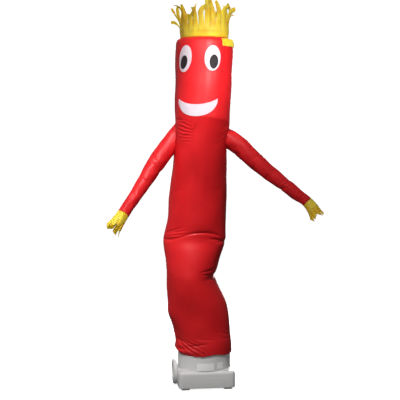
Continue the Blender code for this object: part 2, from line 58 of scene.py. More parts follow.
# %% The blower's axis
housing_low, housing_high = (np.array(corner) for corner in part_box("blower_housing"))
AXIS = np.array([*(housing_low + housing_high)[:2] / 2, 0.0])
TURN = 2 * math.pi
print("the blower's axis stands at", AXIS.round(4))

# %% [markdown]
# The photograph was taken from chest height, about five metres away, looking slightly down.
# A camera there shows the hem and the crown curved by as much as they are in the photograph.

# %% Camera
CAMERA_PLACE = (-0.0206, -4.9, 1.293)
CAMERA_TILT = 3.86
CAMERA_LENS = 85.5


def placed(name, data):
    """A new object with that data, in the scene."""
    made = bpy.data.objects.new(name, data)
    bpy.context.scene.collection.objects.link(made)
    return made


lens = bpy.data.cameras.new("camera")
lens.lens = CAMERA_LENS
lens.sensor_width = 36.0
camera = placed("camera", lens)
camera.location = AXIS + CAMERA_PLACE
camera.rotation_euler = (math.radians(90 - CAMERA_TILT), 0.0, 0.0)
bpy.context.scene.camera = camera
print("camera at", [round(value, 3) for value in camera.location])

# %% [markdown]
# Shader maths reads best as plain sums. This small class wraps a node's output, so that writing
# an expression such as 1 - mask adds the Math nodes for it. Any other node comes from `node`,
# which sets a node's settings first and then its sockets.

# %% Shader expressions
class Value:
    """A number that varies over a surface: one output socket of a material's node."""

    def __init__(self, tree, socket):
        self.tree = tree
        self.socket = socket

    def maths(self, operation, *others):
        node = self.tree.nodes.new("ShaderNodeMath")
        node.operation = operation
        for place, other in enumerate((self, *others)):
            if isinstance(other, Value):
                self.tree.links.new(other.socket, node.inputs[place])
            else:
                node.inputs[place].default_value = other
        return Value(self.tree, node.outputs[0])

    def __add__(self, other):
        return self.maths("ADD", other)

    def __sub__(self, other):
        return self.maths("SUBTRACT", other)

    def __rsub__(self, other):
        return self.maths("MULTIPLY", -1.0).maths("ADD", other)

    def __mul__(self, other):
        return self.maths("MULTIPLY", other)

    def __truediv__(self, other):
        return self.maths("DIVIDE", other)

    __radd__ = __add__
    __rmul__ = __mul__

    def ramp(self, start, end):
        """0 below the start and 1 above the end, smooth between."""
        node = self.tree.nodes.new("ShaderNodeMapRange")
        node.interpolation_type = "SMOOTHSTEP"
        self.tree.links.new(self.socket, node.inputs["Value"])
        node.inputs["From Min"].default_value = start
        node.inputs["From Max"].default_value = end
        return Value(self.tree, node.outputs["Result"])


def parts_of(tree, socket):
    """The x, y and z of a vector."""
    split = tree.nodes.new("ShaderNodeSeparateXYZ")
    tree.links.new(socket, split.inputs[0])
    return [Value(tree, part) for part in split.outputs]


class Finish:
    """A material under construction, around one Principled shader."""

    def __init__(self, name, **sockets):
        self.material = bpy.data.materials.new(name)
        self.material.use_nodes = True
        self.tree = self.material.node_tree
        self.shader = self.tree.nodes["Principled BSDF"]
        for socket, value in sockets.items():
            self.shader.inputs[socket.replace("_", " ")].default_value = value

    def node(self, kind, settings=None, output=0, **sockets):
        """A node of that kind. A socket takes a number, a colour, or another node's output."""
        made = self.tree.nodes.new(kind)
        for setting, value in (settings or {}).items():
            setattr(made, setting, value)
        for socket, value in sockets.items():
            entry = made.inputs[socket.replace("_", " ")]
            if isinstance(value, Value):
                self.tree.links.new(value.socket, entry)
            else:
                entry.default_value = value
        return Value(self.tree, made.outputs[output])

    def place(self):
        return self.node("ShaderNodeTexCoord", output="Object")

    def threads(self):
        """Place on the cloth in metres: how far round it and how far along it."""
        chart = self.node("ShaderNodeUVMap", {"uv_map": CLOTH_CHART})
        return parts_of(self.tree, chart.socket)[:2]

    def noise(self, scale, detail=2.0, stretch=(1.0, 1.0, 1.0)):
        """Uneven from 0 to 1 over the surface, at so many bumps a metre."""
        spread = self.node("ShaderNodeMapping", Vector=self.place(), Scale=stretch)
        return self.node("ShaderNodeTexNoise", Vector=spread, Scale=scale, Detail=detail)

    def mix(self, factor, first, second):
        """One colour turning into another by the factor."""
        made = self.tree.nodes.new("ShaderNodeMix")
        made.data_type = "RGBA"
        self.tree.links.new(factor.socket, made.inputs["Factor"])
        for entry, colour in (("A", first), ("B", second)):
            socket = next(s for s in made.inputs if s.name == entry and s.type == "RGBA")
            if isinstance(colour, Value):
                self.tree.links.new(colour.socket, socket)
            else:
                socket.default_value = (*colour, 1.0)
        return Value(self.tree, next(s for s in made.outputs if s.type == "RGBA"))

    def feed(self, socket, value):
        self.tree.links.new(value.socket, self.shader.inputs[socket])

    def relief(self, height, distance, strength=1.0):
        """Raise the surface by the height, as a bump."""
        made = self.node(
            "ShaderNodeBump", Height=height, Distance=distance, Strength=strength, output="Normal"
        )
        self.feed("Normal", made)


CLOTH_CHART = "cloth in metres"


def woven(around, along, pitch):
    """Threads that pass over and under each other at an even pitch."""
    return (around / pitch * TURN).maths("SINE") * (along / pitch * TURN).maths("SINE")


# %% [markdown]
# The nylon is a thin satin cloth. Fine thicker threads cross it in small squares, which stop
# tears, and they show only from near by. Between them the cloth puckers a little where the air
# doesn't pull it tight. Colour hardly changes, and the satin gloss changes a little more. The
# yellow one is so thin that it lets some light through. On the head's left a row of short dark
# ticks is painted shade: the shade of the small puckers along the seam there, painted into the
# red one's colour.

# %% Nylon
RIPSTOP_PITCH = 0.0055
RIPSTOP_WIDTH = 0.07
THREAD_PITCH = 0.0011
NYLON_ROUGHNESS = 0.46
# Painted shade on the head's left: where the ticks for the seam's puckers go, and their dark colour.
PUCKER_SHADE_TICKS = {"around": 0.712, "reach": 0.026, "pitch": 0.0092, "foot": 1.40, "top": 1.69}
PUCKER_SHADE_COLOUR = (0.12, 0.004, 0.020)
THROUGH_LIGHT_REACH = 0.02


def nylon(name, colour, shade, patch_scale, relief, through_light=0.0, painted_pucker_shade=False):
    """A satin nylon: its colour, the colour of its patches, and how much light it lets through."""
    cloth = Finish(
        name,
        Specular_IOR_Level=0.30,
        Subsurface_Weight=through_light,
        Subsurface_Radius=colour,
        Subsurface_Scale=THROUGH_LIGHT_REACH,
    )
    patches = cloth.noise(patch_scale, 3.0).ramp(0.36, 0.78)
    puckers = cloth.noise(60.0, 4.0, (1.0, 1.0, 2.2))
    creases = cloth.noise(22.0, 3.0, (0.6, 0.6, 2.6))
    around, along = cloth.threads()
    lines = None
    for way in (around, along):
        cell = (way / RIPSTOP_PITCH).maths("FRACT")
        ridge = 1 - cell.maths("PINGPONG", 0.5).ramp(0.0, RIPSTOP_WIDTH)
        lines = ridge if lines is None else lines.maths("MAXIMUM", ridge)
    weave = woven(around, along, THREAD_PITCH)
    tone = cloth.mix(patches, colour, shade)
    tone = cloth.mix(lines * 0.25, tone, shade)
    # Painted shade: short dark ticks where the puckers along the head's left seam would be shaded.
    if painted_pucker_shade:
        reach, foot, top = PUCKER_SHADE_TICKS["reach"], PUCKER_SHADE_TICKS["foot"], PUCKER_SHADE_TICKS["top"]
        near = 1 - (around - PUCKER_SHADE_TICKS["around"]).maths("ABSOLUTE").ramp(reach - 0.008, reach)
        near = near * along.ramp(foot, foot + 0.02) * (1 - along.ramp(top - 0.02, top))
        loops = (along / PUCKER_SHADE_TICKS["pitch"] * TURN).maths("SINE").ramp(0.10, 0.60) * near
        tone = cloth.mix(loops * 0.85, tone, PUCKER_SHADE_COLOUR)
    cloth.feed("Base Color", tone)
    cloth.feed("Roughness", NYLON_ROUGHNESS + (puckers - 0.5) * 0.16 + (patches - 0.5) * 0.05)
    height = puckers * 0.3 + creases * 0.6 + lines * 0.10 + weave * 0.02
    cloth.relief(height, 0.0012, relief)
    return cloth.material


# The red one carries the painted shade of the puckers by the head's left seam.
red_nylon = nylon("red nylon", (0.68, 0.010, 0.014), (0.58, 0.007, 0.010), 7.0, 0.45, 0.0, True)
# The yellow's orange patches are painted shade, laid at random: they stand for the orange of its
# shaded sides.
yellow_nylon = nylon("yellow nylon", (0.95, 0.68, 0.050), (0.94, 0.46, 0.012), 18.0, 0.12, 0.3)
print("materials:", red_nylon.name, "and", yellow_nylon.name)

# %% [markdown]
# The face is cut from plain woven cloth and sewn on. It is duller than the nylon, and its
# threads lie closer.

# %% Patch cloth
PATCH_PITCH = 0.0016


def patch_cloth(name, colour, shade):
    cloth = Finish(name, Specular_IOR_Level=0.20, Sheen_Weight=0.05, Sheen_Roughness=0.5)
    around, along = cloth.threads()
    weave = woven(around, along, PATCH_PITCH)
    soft = cloth.noise(26.0, 3.0)
    cloth.feed("Base Color", cloth.mix(soft.ramp(0.3, 0.8), colour, shade))
    cloth.feed("Roughness", 0.58 + (soft - 0.5) * 0.14)
    cloth.relief(weave * 0.06 + soft * 0.8, 0.0010, 0.5)
    return cloth.material


white_cloth = patch_cloth("white patch cloth", (0.66, 0.56, 0.61), (0.61, 0.52, 0.57))
black_cloth = patch_cloth("black patch cloth", (0.014, 0.009, 0.011), (0.024, 0.017, 0.020))
print("materials:", white_cloth.name, "and", black_cloth.name)

# %% [markdown]
# A cloth piece is made here as a grid of points: rows along it and columns round it. The same
# grid moved a little inwards is its back, and both are joined at the edges. The grid also gives
# each point its place on the flat cloth in metres, so that threads keep their size.

# %% Cloth from a grid of points
CLOTH = 0.0015
GAP = 0.0003
CHART_RADII = {"body": 0.1425, "sleeve": 0.040, "cuff": 0.032, "band": 0.122, "flap": 0.140}


def grid_faces(rows, columns, first, closed, flip):
    faces = []
    for column in range(columns if closed else columns - 1):
        beside = (column + 1) % columns
        for row in range(rows - 1):
            near, far = first + row * columns + column, first + row * columns + beside
            face = (near, far, far + columns, near + columns)
            faces.append(face[::-1] if flip else face)
    return faces


def edge_faces(rows, columns, behind, closed):
    faces = []
    for column in range(columns if closed else columns - 1):
        beside = (column + 1) % columns
        last = (rows - 1) * columns
        faces.append((beside, column, behind + column, behind + beside))
        faces.append((last + column, last + beside, behind + last + beside, behind + last + column))
    if not closed:
        for row in range(rows - 1):
            near, above = row * columns, (row + 1) * columns
            faces.append((near, above, behind + above, behind + near))
            near, above = near + columns - 1, above + columns - 1
            faces.append((above, near, behind + near, behind + above))
    return faces


def outward(piece):
    """Turn a closed mesh's faces outwards."""
    work = bmesh.new()
    work.from_mesh(piece.data)
    bmesh.ops.recalc_face_normals(work, faces=work.faces)
    work.to_mesh(piece.data)
    work.free()


def mesh_object(name, points, faces, material, chart=None):
    """A smooth closed mesh at the origin. Points are measured from the blower's axis."""
    mesh = bpy.data.meshes.new(name)
    mesh.from_pydata((np.asarray(points) + AXIS).tolist(), [], faces)
    if chart is not None:
        corner_points = np.empty(len(mesh.loops), dtype=np.int32)
        mesh.loops.foreach_get("vertex_index", corner_points)
        layer = mesh.uv_layers.new(name=CLOTH_CHART)
        layer.uv.foreach_set("vector", np.asarray(chart)[corner_points].ravel())
    mesh.materials.append(material)
    mesh.shade_smooth()
    made = placed(name, mesh)
    outward(made)
    return made


def sheet_between(name, front, back, material, closed, chart):
    """The cloth between a front and a back grid, [rows, columns, 3], with its flat chart."""
    rows, columns = front.shape[:2]
    behind = rows * columns
    points = np.concatenate([front.reshape(-1, 3), back.reshape(-1, 3)])
    faces = grid_faces(rows, columns, 0, closed, False)
    faces += grid_faces(rows, columns, behind, closed, True)
    faces += edge_faces(rows, columns, behind, closed)
    flat = chart.reshape(-1, 2)
    return mesh_object(name, points, faces, material, np.concatenate([flat, flat]))


def cloth_chart(angles, lengths, piece):
    """Each point's place on the flat cloth: how far round a tube of that piece, and along it."""
    return np.stack(np.broadcast_arrays(angles * CHART_RADII[piece], lengths), axis=-1)


def normals_of(grid, closed):
    """Unit normals of a grid of points, square to its rows and its columns."""
    along = np.gradient(grid, axis=0)
    if closed:
        around = np.roll(grid, -1, axis=1) - np.roll(grid, 1, axis=1)
    else:
        around = np.gradient(grid, axis=1)
    normal = np.cross(around, along)
    return normal / np.linalg.norm(normal, axis=2, keepdims=True)


def through(knots, values, places):
    """Read a smooth curve through a table's rows at the places asked for."""
    slopes = np.gradient(values, knots, axis=0)
    row = np.clip(np.searchsorted(knots, places, side="right") - 1, 0, len(knots) - 2)
    step = (knots[row + 1] - knots[row])[..., None]
    part = (places - knots[row])[..., None] / step
    start = (1 + 2 * part) * (1 - part) ** 2 * values[row]
    start += part * (1 - part) ** 2 * step * slopes[row]
    end = part**2 * (3 - 2 * part) * values[row + 1]
    end += part**2 * (part - 1) * step * slopes[row + 1]
    return start + end


print("cloth is", CLOTH * 1000, "mm thick, and pieces lie", GAP * 1000, "mm apart")

# %% [markdown]
# Air pushes cloth outwards everywhere, so its creases are narrow valleys between round pillows.
# Each crease is a row of a table: where its middle is, how far it reaches, how deep and how tall
# it is, and how it rises and arches on its way round. A ripple is a patch of many small
# pillows, one above the other. A ledge is a long line below which the cloth draws in at once and
# recovers slowly, as under the chin. A little unevenness moves them, so that none looks ruled.

# %% Creases and ripples
VALLEY_ROUNDNESS = 0.25


def window(distance, reach):
    """Fall smoothly from 1 at no distance to 0 at the reach."""
    return np.where(np.abs(distance) < reach, np.cos(distance / reach * math.pi / 2) ** 2, 0.0)


def turned_from(angles, middle):
    return (angles - middle + math.pi) % TURN - math.pi


def uneven(angles, lengths, seed, grain, waves=7):
    """A smooth unevenness about 0, whole round the tube, with bumps of about the grain's size."""
    chance = random.Random(seed)
    total = 0.0
    for _ in range(waves):
        turns = chance.randint(1, 6)
        rise = chance.uniform(0.5, 1.4) * TURN / grain * chance.choice((-1, 1))
        total = total + np.sin(turns * angles + rise * lengths + chance.uniform(0, TURN))
    return total / waves**0.5


def crease_depth(angles, lengths, creases, seed):
    """How far the creases press the cloth in at each place."""
    shift = uneven(angles, lengths, seed, 0.25)
    fade = uneven(angles, lengths, seed + " depth", 0.12)
    depth_total = 0.0
    for at, angle, reach, depth, half, rise, arch in creases:
        aside = turned_from(angles, math.radians(angle))
        off = lengths - at - rise * aside - arch * aside**2 - 0.25 * half * shift
        steps = np.sqrt((off / half) ** 2 + VALLEY_ROUNDNESS**2) - VALLEY_ROUNDNESS
        depth_total = depth_total + depth * (1 + 0.25 * fade) * (
            window(aside, math.radians(reach)) * np.exp(-1.5 * steps)
        )
    return depth_total


def ripple_depth(angles, lengths, ripples, seed):
    """Patches of small pillows side by side."""
    shift = uneven(angles, lengths, seed, 0.16)
    depth_total = 0.0
    for at, angle, tall, reach, pitch, depth, rise, arch in ripples:
        aside = turned_from(angles, math.radians(angle))
        off = lengths - at - rise * aside - arch * aside**2
        pillows = 1 - np.abs(np.sin(math.pi * off / pitch + 0.9 * shift))
        there = window(off, tall) * window(aside, math.radians(reach))
        depth_total = depth_total + depth * there * pillows
    return depth_total


def ledge_depth(angles, lengths, ledges):
    """Where one part bulges over the next: the cloth draws in below a line and slowly recovers."""
    depth_total = 0.0
    for at, angle, reach, depth, fall, recovery, rise, arch in ledges:
        aside = turned_from(angles, math.radians(angle))
        below = np.maximum(0.0, at + rise * aside + arch * aside**2 - lengths)
        drawn_in = (1 - np.exp(-below / fall)) * np.exp(-below / recovery)
        depth_total = depth_total + depth * window(aside, math.radians(reach)) * drawn_in
    return depth_total


# %% [markdown]
# The torso and head are one long tube. Its outline follows a table of heights: the left and the
# right edge as seen from the front, and how deep it is. The tube bends at the knee and the hip,
# leans forward at the chest and back at the head, so its creases gather there.

# %% The body's tables
HEM = 0.172
CROWN = 1.781
DRUM_RADIUS = 0.136
DRUM_TOP = 0.240
BODY_COLUMNS = 160
BODY_ZONES = (  # top of the zone, rows in it
    (0.330, 46),
    (0.520, 26),
    (0.640, 28),
    (0.720, 10),
    (0.830, 34),
    (1.180, 38),
    (1.420, 54),
    (1.730, 44),
    (CROWN, 12),
)
TUBE = (  # height, left edge, right edge, middle in depth, half depth
    (0.172, -0.1500, 0.1443, 0.000, 0.146),
    (0.193, -0.1541, 0.1438, 0.000, 0.148),
    (0.230, -0.1495, 0.1418, -0.003, 0.145),
    (0.278, -0.1562, 0.1381, -0.003, 0.143),
    (0.330, -0.1690, 0.1345, -0.010, 0.142),
    (0.383, -0.1870, 0.1285, -0.020, 0.141),
    (0.440, -0.1892, 0.1129, -0.031, 0.142),
    (0.488, -0.1902, 0.0928, -0.038, 0.145),
    (0.542, -0.1918, 0.0700, -0.043, 0.149),
    (0.579, -0.1933, 0.0598, -0.044, 0.151),
    (0.620, -0.1955, 0.0690, -0.043, 0.149),
    (0.663, -0.1979, 0.0804, -0.040, 0.147),
    (0.719, -0.2065, 0.0990, -0.035, 0.142),
    (0.762, -0.2093, 0.1115, -0.031, 0.137),
    (0.807, -0.2021, 0.1124, -0.032, 0.138),
    (0.859, -0.1905, 0.1129, -0.037, 0.141),
    (0.999, -0.1778, 0.1170, -0.051, 0.143),
    (1.169, -0.1567, 0.1170, -0.076, 0.150),
    (1.221, -0.1500, 0.1175, -0.084, 0.152),
    (1.334, -0.1459, 0.1278, -0.099, 0.152),
    (1.380, -0.1464, 0.1305, -0.103, 0.151),
    (1.426, -0.1479, 0.1325, -0.102, 0.150),
    (1.579, -0.1454, 0.1392, -0.088, 0.148),
    (1.735, -0.1437, 0.1444, -0.075, 0.146),
    (1.757, -0.1408, 0.1420, -0.073, 0.143),
    (1.772, -0.1340, 0.1355, -0.072, 0.136),
    (1.781, -0.1195, 0.1215, -0.072, 0.1215),
)
BODY_CREASES = (  # height, angle, reach, depth, half height, rise per radian, arch
    (0.205, -48, 42, 0.007, 0.010, 0.010, 0.000),
    (0.245, -55, 40, 0.008, 0.012, -0.020, 0.000),
    (0.579, 96, 70, 0.014, 0.014, 0.012, 0.000),
    (0.590, 150, 60, 0.010, 0.015, -0.010, 0.000),
    (0.756, 70, 40, 0.010, 0.010, -0.006, 0.000),
    (0.808, 14, 66, 0.008, 0.008, 0.000, -0.045),
    (1.374, -62, 26, 0.006, 0.006, -0.010, 0.000),
    (0.770, 46, 27, 0.007, 0.006, -0.018, 0.000),
    (0.768, -62, 34, 0.006, 0.010, 0.010, 0.000),
    (0.613, 40, 30, 0.006, 0.005, 0.010, 0.000),
    (0.592, 44, 32, 0.006, 0.005, -0.014, 0.000),
    (0.775, -40, 30, 0.004, 0.006, 0.036, 0.000),
    (0.812, -52, 30, 0.004, 0.006, 0.030, 0.000),
    (0.226, -20, 46, 0.004, 0.006, 0.026, 0.000),
    (0.262, 8, 30, 0.003, 0.007, -0.012, 0.000),
    (1.020, -44, 26, 0.002, 0.008, 0.020, 0.000),
    (1.022, 44, 22, 0.002, 0.008, -0.016, 0.000),
    (1.300, 58, 26, 0.003, 0.008, 0.020, 0.000),
    (1.340, 64, 24, 0.003, 0.008, 0.030, 0.000),
)
BODY_RIPPLES = (  # height, angle, half height, reach, pitch, depth, rise per radian, arch
    (1.316, -42, 0.078, 30, 0.0165, 0.0085, -0.025, 0.000),
    (1.268, 48, 0.042, 28, 0.017, 0.0036, 0.050, 0.000),
    (0.806, -44, 0.042, 38, 0.015, 0.0050, 0.030, 0.000),
    (0.232, -38, 0.072, 64, 0.024, 0.0080, -0.075, 0.000),
    (0.590, 66, 0.050, 34, 0.019, 0.0030, 0.024, 0.000),
    (0.420, 8, 0.150, 34, 0.021, 0.0015, -0.060, 0.000),
    (0.270, 70, 0.060, 60, 0.024, 0.0022, -0.030, 0.000),
    (0.580, 180, 0.070, 60, 0.024, 0.0035, 0.020, 0.000),
    (0.790, 180, 0.060, 70, 0.024, 0.0030, -0.020, 0.000),
    (1.380, 180, 0.080, 60, 0.026, 0.0030, 0.010, 0.000),
)
BODY_LEDGES = (  # height, angle, reach, depth, fall, recovery, rise per radian, arch
    (1.378, 35, 75, 0.017, 0.040, 0.300, -0.022, -0.012),
    (1.312, -29, 26, 0.010, 0.022, 0.160, 0.198, 0.000),
    (0.588, 58, 54, 0.012, 0.028, 0.200, -0.010, 0.000),
    (0.800, 10, 75, 0.004, 0.010, 0.080, 0.000, -0.045),
)
UPRIGHT_FOLDS = (  # angle, reach, depth, foot, top
    (-3, 11, 0.0016, 0.84, 1.80),
    (20, 10, 0.0014, 0.84, 1.80),
)
HEM_LIFT_FADE = 0.060
HEM_LIFTS = (  # angle, reach, lift
    (-88, 40, 0.012),
    (24, 30, 0.009),
    (150, 50, 0.006),
)
HEM_PULL = {"height": 0.168, "half": 0.015, "depth": 0.020, "angle": -90, "reach": 100}
SIDE_SEAMS = (-82, 98)
SEAM_PUCKER_PITCH = 0.019
SEAM_PUCKER_DEPTH = 0.0016
SEAM_PUCKER_REACH = 15
CROWN_PUCKERS = 44
CROWN_PUCKER_DEPTH = 0.0016
CROWN_PUCKER_FADE = 0.030
HEM_PUCKERS = 38
HEM_PUCKER_DEPTH = 0.0020
HEM_PUCKER_FADE = 0.035
SLACK_DEPTH = 0.0011
DRUM_CLEARANCE = 0.0007
print(len(BODY_CREASES), "creases and", len(BODY_RIPPLES), "ripples on the body")

# %% [markdown]
# `skin` is the whole shape of the body in one function: it gives the point for any angle round
# the tube and any height. The cloth, the patches sewn on it and the stitches all read it, so
# they can't part from each other.

# %% The body's surface
BODY_TABLE = np.array(TUBE)


def section(heights):
    """Middle and half widths of the tube across and in depth, at each height."""
    left, right, middle, half_depth = np.moveaxis(
        through(BODY_TABLE[:, 0], BODY_TABLE[:, 1:], heights), -1, 0
    )
    return (left + right) / 2, middle, (right - left) / 2, half_depth


def pucker_depth(angles, heights):
    """Small puckers along the upright side seams, under the hair and round the hem."""
    total = 0.0
    shift = uneven(angles, heights, "puckers", 0.05)
    for seam in SIDE_SEAMS:
        aside = turned_from(angles, math.radians(seam))
        waves = 1 - np.abs(np.sin(math.pi * heights / SEAM_PUCKER_PITCH + shift))
        near = window(aside, math.radians(SEAM_PUCKER_REACH))
        total = total + SEAM_PUCKER_DEPTH * near * waves + 0.0012 * window(aside, 0.02)
    crown = np.exp(-(CROWN - heights) / CROWN_PUCKER_FADE)
    total = total + CROWN_PUCKER_DEPTH * crown * (
        1 - np.abs(np.sin(angles * CROWN_PUCKERS / 2 + shift))
    )
    hem = np.exp(-(heights - HEM) / HEM_PUCKER_FADE)
    return total + HEM_PUCKER_DEPTH * hem * (
        1 - np.abs(np.sin(angles * HEM_PUCKERS / 2 + shift))
    )


def skin(angles, heights):
    """Points on the outside of the body, for angles from the front towards +X and heights."""
    angles, heights = np.broadcast_arrays(
        np.asarray(angles, dtype=float), np.asarray(heights, dtype=float)
    )
    middle_x, middle_y, half_width, half_depth = section(heights)
    pressed = crease_depth(angles, heights, BODY_CREASES, "body")
    pressed = pressed + ripple_depth(angles, heights, BODY_RIPPLES, "body ripples")
    pressed = pressed + ledge_depth(angles, heights, BODY_LEDGES)
    pressed = pressed + pucker_depth(angles, heights)
    pressed = pressed + SLACK_DEPTH * uneven(angles, heights, "slack", 0.19)
    for angle, span, depth, foot, top in UPRIGHT_FOLDS:
        aside = turned_from(angles, math.radians(angle)) / math.radians(span)
        between = np.clip((heights - foot) / 0.1, 0, 1) * np.clip((top - heights) / 0.08, 0, 1)
        pressed = pressed + depth * between * np.exp(-1.5 * np.abs(aside))
    aside = turned_from(angles, math.radians(HEM_PULL["angle"]))
    held = np.exp(-(((heights - HEM_PULL["height"]) / HEM_PULL["half"]) ** 4))
    pressed = pressed + HEM_PULL["depth"] * held * window(aside, math.radians(HEM_PULL["reach"]))
    x = middle_x + (half_width - pressed) * np.sin(angles)
    y = middle_y - (half_depth - pressed) * np.cos(angles)
    reach = np.hypot(x, y)
    least = DRUM_RADIUS + GAP + CLOTH + DRUM_CLEARANCE
    low = heights < DRUM_TOP + HEM_PULL["half"]
    widened = np.where(low, np.maximum(reach, least) / reach, 1.0)
    z = heights.copy()
    for angle, span, lift in HEM_LIFTS:
        raised = lift * window(turned_from(angles, math.radians(angle)), math.radians(span))
        z = z + raised * np.clip((HEM - heights) / HEM_LIFT_FADE + 1, 0, 1)
    return np.stack([x * widened, y * widened, z], axis=-1)


def skin_normals(angles, heights, step=0.004):
    """Unit normals of the body's surface at any places on it."""
    along = skin(angles, heights + step) - skin(angles, heights - step)
    around = skin(angles + step / 0.14, heights) - skin(angles - step / 0.14, heights)
    normal = np.cross(around, along)
    return normal / np.linalg.norm(normal, axis=-1, keepdims=True)


def off_skin(angles, heights, lift):
    """Points a little off the body's surface."""
    return skin(angles, heights) + lift * skin_normals(angles, heights)


def zoned(start, zones):
    """Heights counted off between the tops of the zones."""
    heights = [start]
    for top, rows in zones:
        foot = heights[-1]
        heights += [foot + (top - foot) * (row + 1) / rows for row in range(rows)]
    return np.array(heights)


body_rows = zoned(HEM, BODY_ZONES)
print("the body has", len(body_rows), "rows of", BODY_COLUMNS)

# %% [markdown]
# A sleeve is a tapering tube along a bent line. It is sewn to the body, so each of its threads
# starts where it meets the body's side. That place is found by walking along the thread until it
# leaves the body. The wrist is a straight cut.

# %% The sleeves' tables
ARM_COLUMNS = 80
ARM_ROWS = 150
ARMS = {
    "left": {
        "rows": (  # x, y, z, radius
            (-0.0880, -0.074, 1.3540, 0.0465),
            (-0.1570, -0.092, 1.2700, 0.0465),
            (-0.2355, -0.146, 1.1630, 0.0455),
            (-0.2945, -0.207, 1.0680, 0.0370),
            (-0.3440, -0.262, 0.9900, 0.0315),
            (-0.3930, -0.317, 0.9155, 0.0300),
            (-0.4190, -0.343, 0.8760, 0.0335),
            (-0.4450, -0.369, 0.8360, 0.0390),
        ),
        "wrist": 0.594,
        "creases": (  # length, angle, reach, depth, half length, rise, arch
            (0.250, -30, 60, 0.0040, 0.006, 0.012, 0.004),
            (0.291, 30, 80, 0.0065, 0.006, 0.010, -0.006),
            (0.384, 20, 80, 0.0055, 0.005, 0.008, 0.000),
            (0.300, 130, 60, 0.0050, 0.009, 0.006, 0.000),
            (0.470, -40, 70, 0.0020, 0.008, 0.016, 0.000),
        ),
        "ripples": (  # length, angle, half length, reach, pitch, depth, rise, arch
            (0.150, 60, 0.060, 80, 0.020, 0.0030, 0.016, 0.000),
            (0.280, 110, 0.060, 80, 0.018, 0.0030, -0.010, 0.000),
            (0.550, 0, 0.060, 180, 0.018, 0.0014, 0.004, 0.000),
        ),
    },
    "right": {
        "rows": (
            (0.0800, -0.088, 1.2900, 0.0485),
            (0.1280, -0.090, 1.2760, 0.0490),
            (0.1790, -0.091, 1.2400, 0.0475),
            (0.2190, -0.092, 1.2030, 0.0455),
            (0.3063, -0.094, 1.1256, 0.0405),
            (0.4077, -0.097, 1.0470, 0.0340),
            (0.4660, -0.098, 1.0012, 0.0320),
            (0.5212, -0.100, 0.9594, 0.0280),
            (0.5480, -0.106, 0.9290, 0.0310),
            (0.5700, -0.115, 0.8880, 0.0340),
        ),
        "wrist": 0.555,
        "creases": (
            (0.128, -60, 60, 0.0040, 0.009, 0.010, 0.000),
            (0.210, 30, 60, 0.0020, 0.009, 0.012, 0.000),
            (0.412, -70, 90, 0.0040, 0.008, 0.008, 0.000),
            (0.236, -50, 50, 0.0050, 0.006, -0.014, 0.000),
            (0.318, -35, 50, 0.0050, 0.006, -0.014, 0.000),
            (0.418, 70, 60, 0.0025, 0.008, -0.008, 0.000),
            (0.330, -20, 60, 0.0016, 0.008, -0.014, 0.000),
        ),
        "ripples": (
            (0.110, -60, 0.060, 90, 0.020, 0.0030, -0.012, 0.000),
            (0.410, 0, 0.050, 120, 0.018, 0.0020, 0.006, 0.000),
            (0.515, 0, 0.050, 180, 0.017, 0.0014, 0.004, 0.000),
        ),
    },
}
SLEEVE_PUCKERS = 15
SLEEVE_PUCKER_DEPTH = 0.0016
SLEEVE_PUCKER_FADE = 0.020
SLEEVE_SLACK_DEPTH = 0.0008


def smooth_line(rows):
    """A bent middle line and its radius, as a function of the length along it."""
    rows = np.array(rows)
    steps = np.linalg.norm(np.diff(rows[:, :3], axis=0), axis=1)
    knots = np.concatenate([[0.0], np.cumsum(steps)])
    return lambda lengths: through(knots, rows, np.asarray(lengths, dtype=float))


def sleeve_frames(line, lengths):
    """Middle, radius, front and side directions of a sleeve at the lengths."""
    places = line(lengths)
    heading = line(lengths + 0.001)[..., :3] - line(lengths - 0.001)[..., :3]
    heading /= np.linalg.norm(heading, axis=-1, keepdims=True)
    forward = np.array([0.0, -1.0, 0.0])
    front = forward - heading * (heading @ forward)[..., None]
    front /= np.linalg.norm(front, axis=-1, keepdims=True)
    return places[..., :3], places[..., 3], front, np.cross(front, heading)


def sleeve_skin(arm, angles, lengths, inset=0.0):
    """Points on a sleeve, with its creases. The angle is 0 at its front."""
    angles, lengths = np.broadcast_arrays(angles, np.asarray(lengths, dtype=float))
    middle, radius, front, side = sleeve_frames(arm["line"], lengths)
    pressed = crease_depth(angles, lengths, arm["creases"], arm["name"])
    pressed = pressed + ripple_depth(angles, lengths, arm["ripples"], arm["name"])
    pressed = pressed + SLEEVE_SLACK_DEPTH * uneven(angles, lengths, arm["name"] + " slack", 0.11)
    shift = uneven(angles, lengths, arm["name"] + " puckers", 0.05)
    folds = 1 - np.abs(np.sin(angles * SLEEVE_PUCKERS / 2 + shift))
    near_wrist = np.exp(-np.abs(lengths - arm["wrist"]) / SLEEVE_PUCKER_FADE)
    pressed = pressed + SLEEVE_PUCKER_DEPTH * folds * near_wrist
    wide = (radius - pressed - inset)[..., None]
    return middle + wide * (front * np.cos(angles)[..., None] + side * np.sin(angles)[..., None])


def outside_body(points):
    """How far each point lies outside the body's cloth, measured level from its middle."""
    middle_x, middle_y, half_width, half_depth = section(points[..., 2])
    off_x, off_y = points[..., 0] - middle_x, points[..., 1] - middle_y
    angles = np.arctan2(off_x / half_width, -off_y / half_depth)
    cloth = skin(angles, points[..., 2])
    reach = np.hypot(cloth[..., 0] - middle_x, cloth[..., 1] - middle_y)
    return np.hypot(off_x, off_y) - reach


def sleeve_root(arm, angles, inset):
    """Length at which each thread of the sleeve leaves the body."""
    walk = np.arange(0.0, 0.30, 0.002)
    apart = outside_body(sleeve_skin(arm, angles[None, :], walk[:, None], inset)) - GAP
    last_inside = len(walk) - 1 - np.argmax((apart < 0)[::-1], axis=0)
    column = np.arange(len(angles))
    inside, outside = apart[last_inside, column], apart[last_inside + 1, column]
    return walk[last_inside] + 0.002 * inside / (inside - outside)


